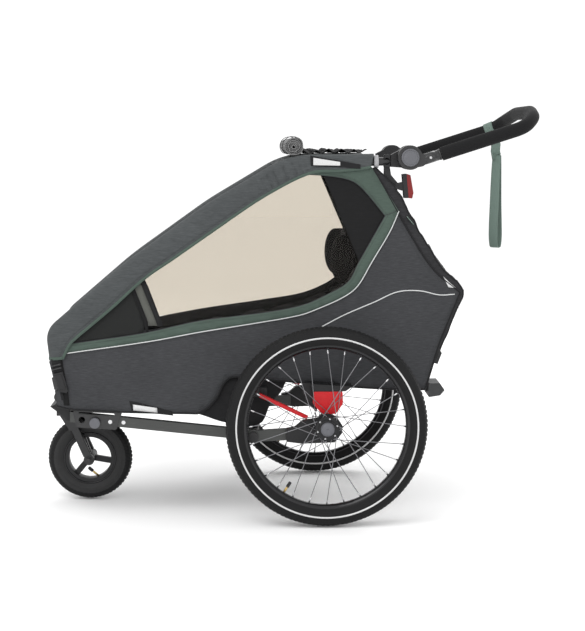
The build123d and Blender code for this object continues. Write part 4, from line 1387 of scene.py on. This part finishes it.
def make_wrist_strap():
    """Webbing eye round the grip, a sewn neck, and a hanging loop turned a little towards the front."""
    x0 = -235.0
    along = Vector((0.31, 0.87, 0.382)).normalized()
    down = (Vector((0, 0, -1)) + along * along.z).normalized()
    sideways = along.cross(down)
    middle = P(x0 + 2.5, 479.6, 979.9)
    eye = []
    for k in range(31):
        a = math.radians(-8 + 376 * k / 30)
        eye.append(middle + (down * math.cos(a) + sideways * math.sin(a)) * 19.3 * MM)
    parts = [ribbon(eye, along, WEBBING, 1.6)]
    loop_y, loop_top, low = 500.5, 909.2, 652.0
    turn = math.radians(-36)
    neck = [middle + down * 0.0188, middle + down * 0.045]
    neck += [P(x0, 496, loop_top + 12), P(x0, 500, loop_top - 12)]
    widths = [along, along * 0.6 + Vector((0, 0.4, 0)), Vector((0, 1, 0)), Vector((-0.2, 1, 0))]
    for s in (-1, 1):
        parts.append(ribbon([p + Vector((s * 1.1 * MM, 0, 0)) for p in neck], widths, WEBBING, 1.8))
    keys = [(1.2, loop_top), (7, loop_top - 40), (13.5, loop_top - 110)]
    keys += [(17.5, low + 40), (10, low + 5), (0, low + 1)]
    keys += [(-x, z) for x, z in reversed(keys[:-1])]
    path = smooth_line(keys, 7)
    loop, across = [], []
    for i, (u, z) in enumerate(path):
        swing = math.sin(2 * math.pi * i / (len(path) - 1))
        loop.append(P(x0 + u * math.cos(turn), loop_y + u * math.sin(turn) + 1.75 * swing, z))
        twist = turn + 0.22 * swing
        across.append(Vector((-math.sin(twist), math.cos(twist), 0)))
    parts.append(ribbon(loop, across, WEBBING, 1.8))
    strap = piece("wrist_strap_webbing", *merged(*parts), "green_web", None, "green_fabric", ["wrist_strap"])
    tacks = []
    for z in (loop_top + 2, loop_top + 26):
        for k in range(8):
            y = 487.5 + 3 * k - 0.12 * (z - loop_top)
            for s in (-1, 1):
                tacks.append(tube([P(x0 + s * 2.7, y, z - 4), P(x0 + s * 2.7, y + 2.5, z + 4)], 0.5, 5))
    seams = piece("wrist_strap_tacks", *merged(*tacks), "pale_thread", None, "green_fabric")
    for obj in (strap, seams):
        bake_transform(obj)


make_wrist_strap()


# ---- Wheels ----
class Tyre:
    """A pneumatic tyre: its centre in side view, its middle plane x, and its sizes.
    seat and r_out are its radii at the rim and the tread, seat_half and half its half widths."""

    def __init__(self, centre, x, seat, seat_half, half, r_out, wall):
        self.centre, self.x, self.seat, self.half, self.r_out, self.wall = centre, x, seat, half, r_out, wall
        rise = r_out - seat
        keys = [(-seat_half, seat), (-half * 0.97, seat + rise * 0.34), (-half * 0.95, seat + rise * 0.62)]
        keys += [(-half * 0.68, seat + rise * 0.9), (0, r_out - 1.2)]
        keys += [(-x, r) for x, r in reversed(keys[:-1])]
        self.profile = smooth_line(keys, rise / 7)  # outer section as (x, radius), one side to the other

    def wall_x(self, radius):
        """How far out the wall is at a radius."""
        return min((p for p in self.profile if p[0] > 0), key=lambda p: abs(p[1] - radius))[0]

    def treaded(self, blocks, depth):
        """(verts, faces) with rows of staggered tread blocks, two grooves each side and a hollow inside."""
        per_block = 4
        turns = blocks * per_block
        inner = []
        for px, r in reversed(self.profile):
            hollow_r = min(self.seat + 0.8 + (r - self.seat) * 0.86, self.r_out - self.wall * 1.8)
            inner.append((px * (1 - self.wall / self.half), hollow_r))
        verts = []
        for k in range(turns):
            a = 2 * math.pi * k / turns
            for px, r in self.profile:
                share = abs(px) / self.half
                cut = 0.0
                if r > self.seat + (self.r_out - self.seat) * 0.6:
                    stagger = per_block // 2 if int(share * 4 + 0.5) % 2 else 0
                    between = (k + stagger) % per_block == per_block - 1
                    if between or 0.34 < share < 0.42 or 0.66 < share < 0.72:
                        cut = depth
                verts.append(around(self.centre, self.x + px, r - cut, a))
            verts += [around(self.centre, self.x + px, r, a) for px, r in inner]
        return verts, hoop_faces(turns, len(self.profile) + len(inner))


def bead_ring(x, r, size):
    """Round section (x, radius) of a ring moulded on a wheel."""
    return [(x + size * math.cos(k * math.pi / 4), r + size * math.sin(k * math.pi / 4)) for k in range(8)]


def hex_head(centre, x, r, tall):
    y, z = centre
    angles = [math.pi * k / 3 + 0.3 for k in range(6)]
    ring = [(y + r * math.cos(a), z + r * math.sin(a)) for a in angles]
    return rounded_slab(ring, x, x + tall, min(0.6, tall / 4), steps=1)


def screw_head(centre, x, r, tall):
    """Round socket screw head facing outwards, with its hexagon recess."""
    turns = 24
    flat = r * 0.48 * math.cos(math.pi / 6)
    verts = []
    for radius, px in ((r, 0), (r, tall * 0.7), (r * 0.86, tall), (0, tall), (0, tall * 0.45)):
        for k in range(turns):
            a = 2 * math.pi * k / turns
            socket_r = flat / math.cos((a % (math.pi / 3)) - math.pi / 6)
            verts.append(around(centre, x + px, radius or socket_r, a))
    return barrel(verts, turns)


WHEEL_R = 250.0
SPOKES = 28
SPOKE_LEAN = 48  # degrees between a spoke's ends
STRIPE_R = 222.6
FLANGE_R, NIPPLE_R = 30.4, 193.4
VALVE_R, VALVE_AT = 195, -123


def make_wheel(side):
    body = f"wheel_{side}"
    centre = (0.0, WHEEL_R)
    tyre = Tyre(centre, WHEEL_X, 203.4, 12.2, 23.5, WHEEL_R, 3.5)
    carcass = on_side(tyre.treaded(132, 2.2), side)
    piece(f"tyre_rubber_{side}", *carcass, "tyre", body, "tyre", [f"tyre_{side}"], smooth=False)
    stripes = []
    for s in (-1, 1):
        section = []
        for r in (STRIPE_R - 2.0, STRIPE_R, STRIPE_R + 2.0):
            section.append((s * (tyre.wall_x(r) + 0.9), r))
        section += [(px - s * 1.6, r) for px, r in reversed(section)]
        stripes.append(lathe(section, centre, WHEEL_X, 120))
    nipples = []
    for i in range(SPOKES):
        lean = math.radians(SPOKE_LEAN if i % 4 < 2 else -SPOKE_LEAN)
        a = 2 * math.pi * i / SPOKES
        s = 1 if i % 2 else -1
        start = around(centre, WHEEL_X + s * 24, FLANGE_R, a + lean)
        end = around(centre, WHEEL_X + s * 3, NIPPLE_R, a)
        way = (start - end).normalized()
        nipples.append(rod(end - way * 1.5 * MM, way, (0, 9, 12, 13), [2.1, 2.1, 1.9, 1.2], 8))
    foot = around(centre, WHEEL_X, VALVE_R, math.radians(VALVE_AT))
    way = (P(WHEEL_X, *centre) - foot).normalized()
    studs = []
    for k in range(6):
        a = 2 * math.pi * k / 6 + 0.3
        place = (24.8 * math.cos(a), WHEEL_R + 24.8 * math.sin(a))
        studs.append(screw_head(place, WHEEL_X + 25.8, 2.3, 2.6))
    dome = [(35.6, 16.2), (37.6, 15.4), (39.3, 12), (40.3, 7), (40.6, 0.3), (35.6, 0.3)]
    fittings = {
        "tyre_stripe": (merged(*stripes), "reflector", body, "silver"),
        "spoke_nipples": (merged(*nipples), "steel", body, "steel"),
        "valve_stem": (rod(foot, way, (0, 12, 13, 26), [3, 3, 2.4, 2.4]), "brass", body, "steel"),
        "valve_cap": (rod(foot, way, (16, 17, 29, 31), [3.6, 4, 4, 3]), "plastic", body, "black_plastic"),
        "hub_studs": (merged(*studs), "steel", body, "steel"),
        "axle_button_dome": (
            lathe(dome, centre, WHEEL_X, 48), "grey_plastic", f"axle_button_{side}", "grey_plastic",
        ),
    }
    for name, (mesh, mat, on_body, slot) in fittings.items():
        piece(f"{name}_{side}", *on_side(mesh, side), mat, on_body, slot)


for side in SIDES:
    make_wheel(side)


TREAD_SHADE_FROM = 97  # painted shade: faces beyond this radius take the darker tyre rubber, so the tread shows darker than the sidewall


def make_front_wheel():
    radius = 112.5
    centre = (-611.5, radius)
    body = "caster_wheel"
    carcass = Tyre(centre, 0, 65.6, 16.2, 24, radius, 4).treaded(64, 2.2)
    tyre = piece("front_tyre_rubber", *carcass, "front_tyre", body, "tyre", ["front_tyre"], smooth=False)
    tyre.data.materials.append(MAT["tyre"])
    hub = P(0, *centre)
    # painted shade: the outer faces, the tread, take the darker rubber
    for face in tyre.data.polygons:
        reach = (Vector((0, face.center.y, face.center.z)) - hub).length / MM
        face.material_index = int(reach > TREAD_SHADE_FROM)
    foot = around(centre, 0, 56, math.radians(-68))
    way = Vector((0.3, -0.68, 0.68)).normalized()
    piece("front_valve_stem", *rod(foot, way, (0, 8, 30), [3.2, 2.8, 2.6]), "brass", body, "steel")
    cap = rod(foot + way * 22 * MM, way, (0, 1, 13, 15), [3.6, 4.4, 4.4, 3.2])
    piece("front_valve_cap", *cap, "plastic", body, "black_plastic")
    beads, ridges = [], []
    for s in (-1, 1):
        beads.append(lathe(bead_ring(s * 17.4, 67.2, 2.4), centre, 0, 96))
        for x, r, size in ((23.2, 84, 0.9), (21.8, 93, 1.3)):
            ridges.append(lathe(bead_ring(s * x, r, size), centre, 0, 96))
    piece("front_rim_beads", *merged(*beads), "rim", body, "black_plastic")
    piece("front_tyre_ridges", *merged(*ridges), "front_tyre", body, "tyre")
    nuts = both_sides(hex_head(centre, 49.5, 6.4, 4.5))
    piece("caster_axle_nuts", *nuts, "satin", "caster", "black_plastic", smooth=False)


make_front_wheel()


# ---- Hinges and small fittings ----
HANDLE_X = 235  # from the middle plane to the handlebar's straight legs


def make_hinge_trim(side):
    button = lathe([(252, 21.6), (253.3, 20.6), (253.3, 18.4), (252, 18)], (205.0, 907.0), 0, 48)
    start, ahead = Vector((240.0, 902.2)), Vector((260.0, 83.5)).normalized()

    def band(at, long, r):
        a, b = start + ahead * at, start + ahead * (at + long)
        path = [P(HANDLE_X, *(a.lerp(b, k / 3))) for k in range(4)]
        return tube(path, [r - 0.6, r, r, r - 0.6], 32)

    screw = screw_head(tuple(start + ahead * 16), HANDLE_X + 13.0, 3.2, 1.4)
    trims = [
        ("hinge_button_trim", button, "grey_plastic", f"hinge_button_{side}", "grey_plastic", True),
        ("handle_collar", band(38.5, 4.5, 14.2), "satin", "handlebar", "black_plastic", True),
        ("handle_sleeve", band(-6, 40, 13.5), "satin", "handlebar", "black_plastic", True),
        ("handle_screw", screw, "steel", "handlebar", "steel", False),
    ]
    for name, mesh, mat, body, slot, smooth in trims:
        piece(f"{name}_{side}", *on_side(mesh, side), mat, body, slot, smooth=smooth)


for side in SIDES:
    make_hinge_trim(side)


# ---- Finish of the CAD nodes that stay ----
FINISHES = {
    "foam": "grip_foam",
    "powder": "handlebar_tube pivot_pins caster_bracket caster_fork front_axle cross_tubes rear_stays"
    " hoop_tubes hoop_cross_tubes rear_frame_tube",
    "plastic": "hinge_housings light_clamp light_body front_bumper hoop_brackets spring_seats brake_brackets"
    " pedal_bracket front_rim hub hub_carrier",
    "satin": "hitch_plate",
    "pedal": "brake_pedal",
    "grey_plastic": "lock_knob axle_button hinge_button",
    "silver_plastic": "lock_collars",
    "anodised": "side_rails trailing_arm",
    "steel": "frame_screws",
    "spoke": "spokes",
    "rim": "rim",
    "tyre": "tyre",
    "red": "leaf_spring rubber_spring",
    "red_lens": "light_lens",
}
FINISH = {node: mat for mat, names in FINISHES.items() for node in names.split()}


def finish_nodes():
    for name, obj in nodes.items():
        key = name.removesuffix("_left").removesuffix("_right")
        if key not in FINISH:
            continue
        for part in obj.material_slots:
            part.material = MAT[FINISH[key]]
        weld = obj.modifiers.new("weld", "WELD")
        weld.merge_threshold = WELD_M
        bevel = obj.modifiers.new("soft_edges", "BEVEL")
        bevel.width = 0.0006
        bevel.segments = 2
        bevel.limit_method = "ANGLE"
        bevel.angle_limit = math.radians(38)
        bevel.harden_normals = True


finish_nodes()

# The springs get meshes of their own.
for side in SIDES:
    for name in (f"rubber_spring_{side}", f"leaf_spring_{side}"):
        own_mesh(nodes[name])
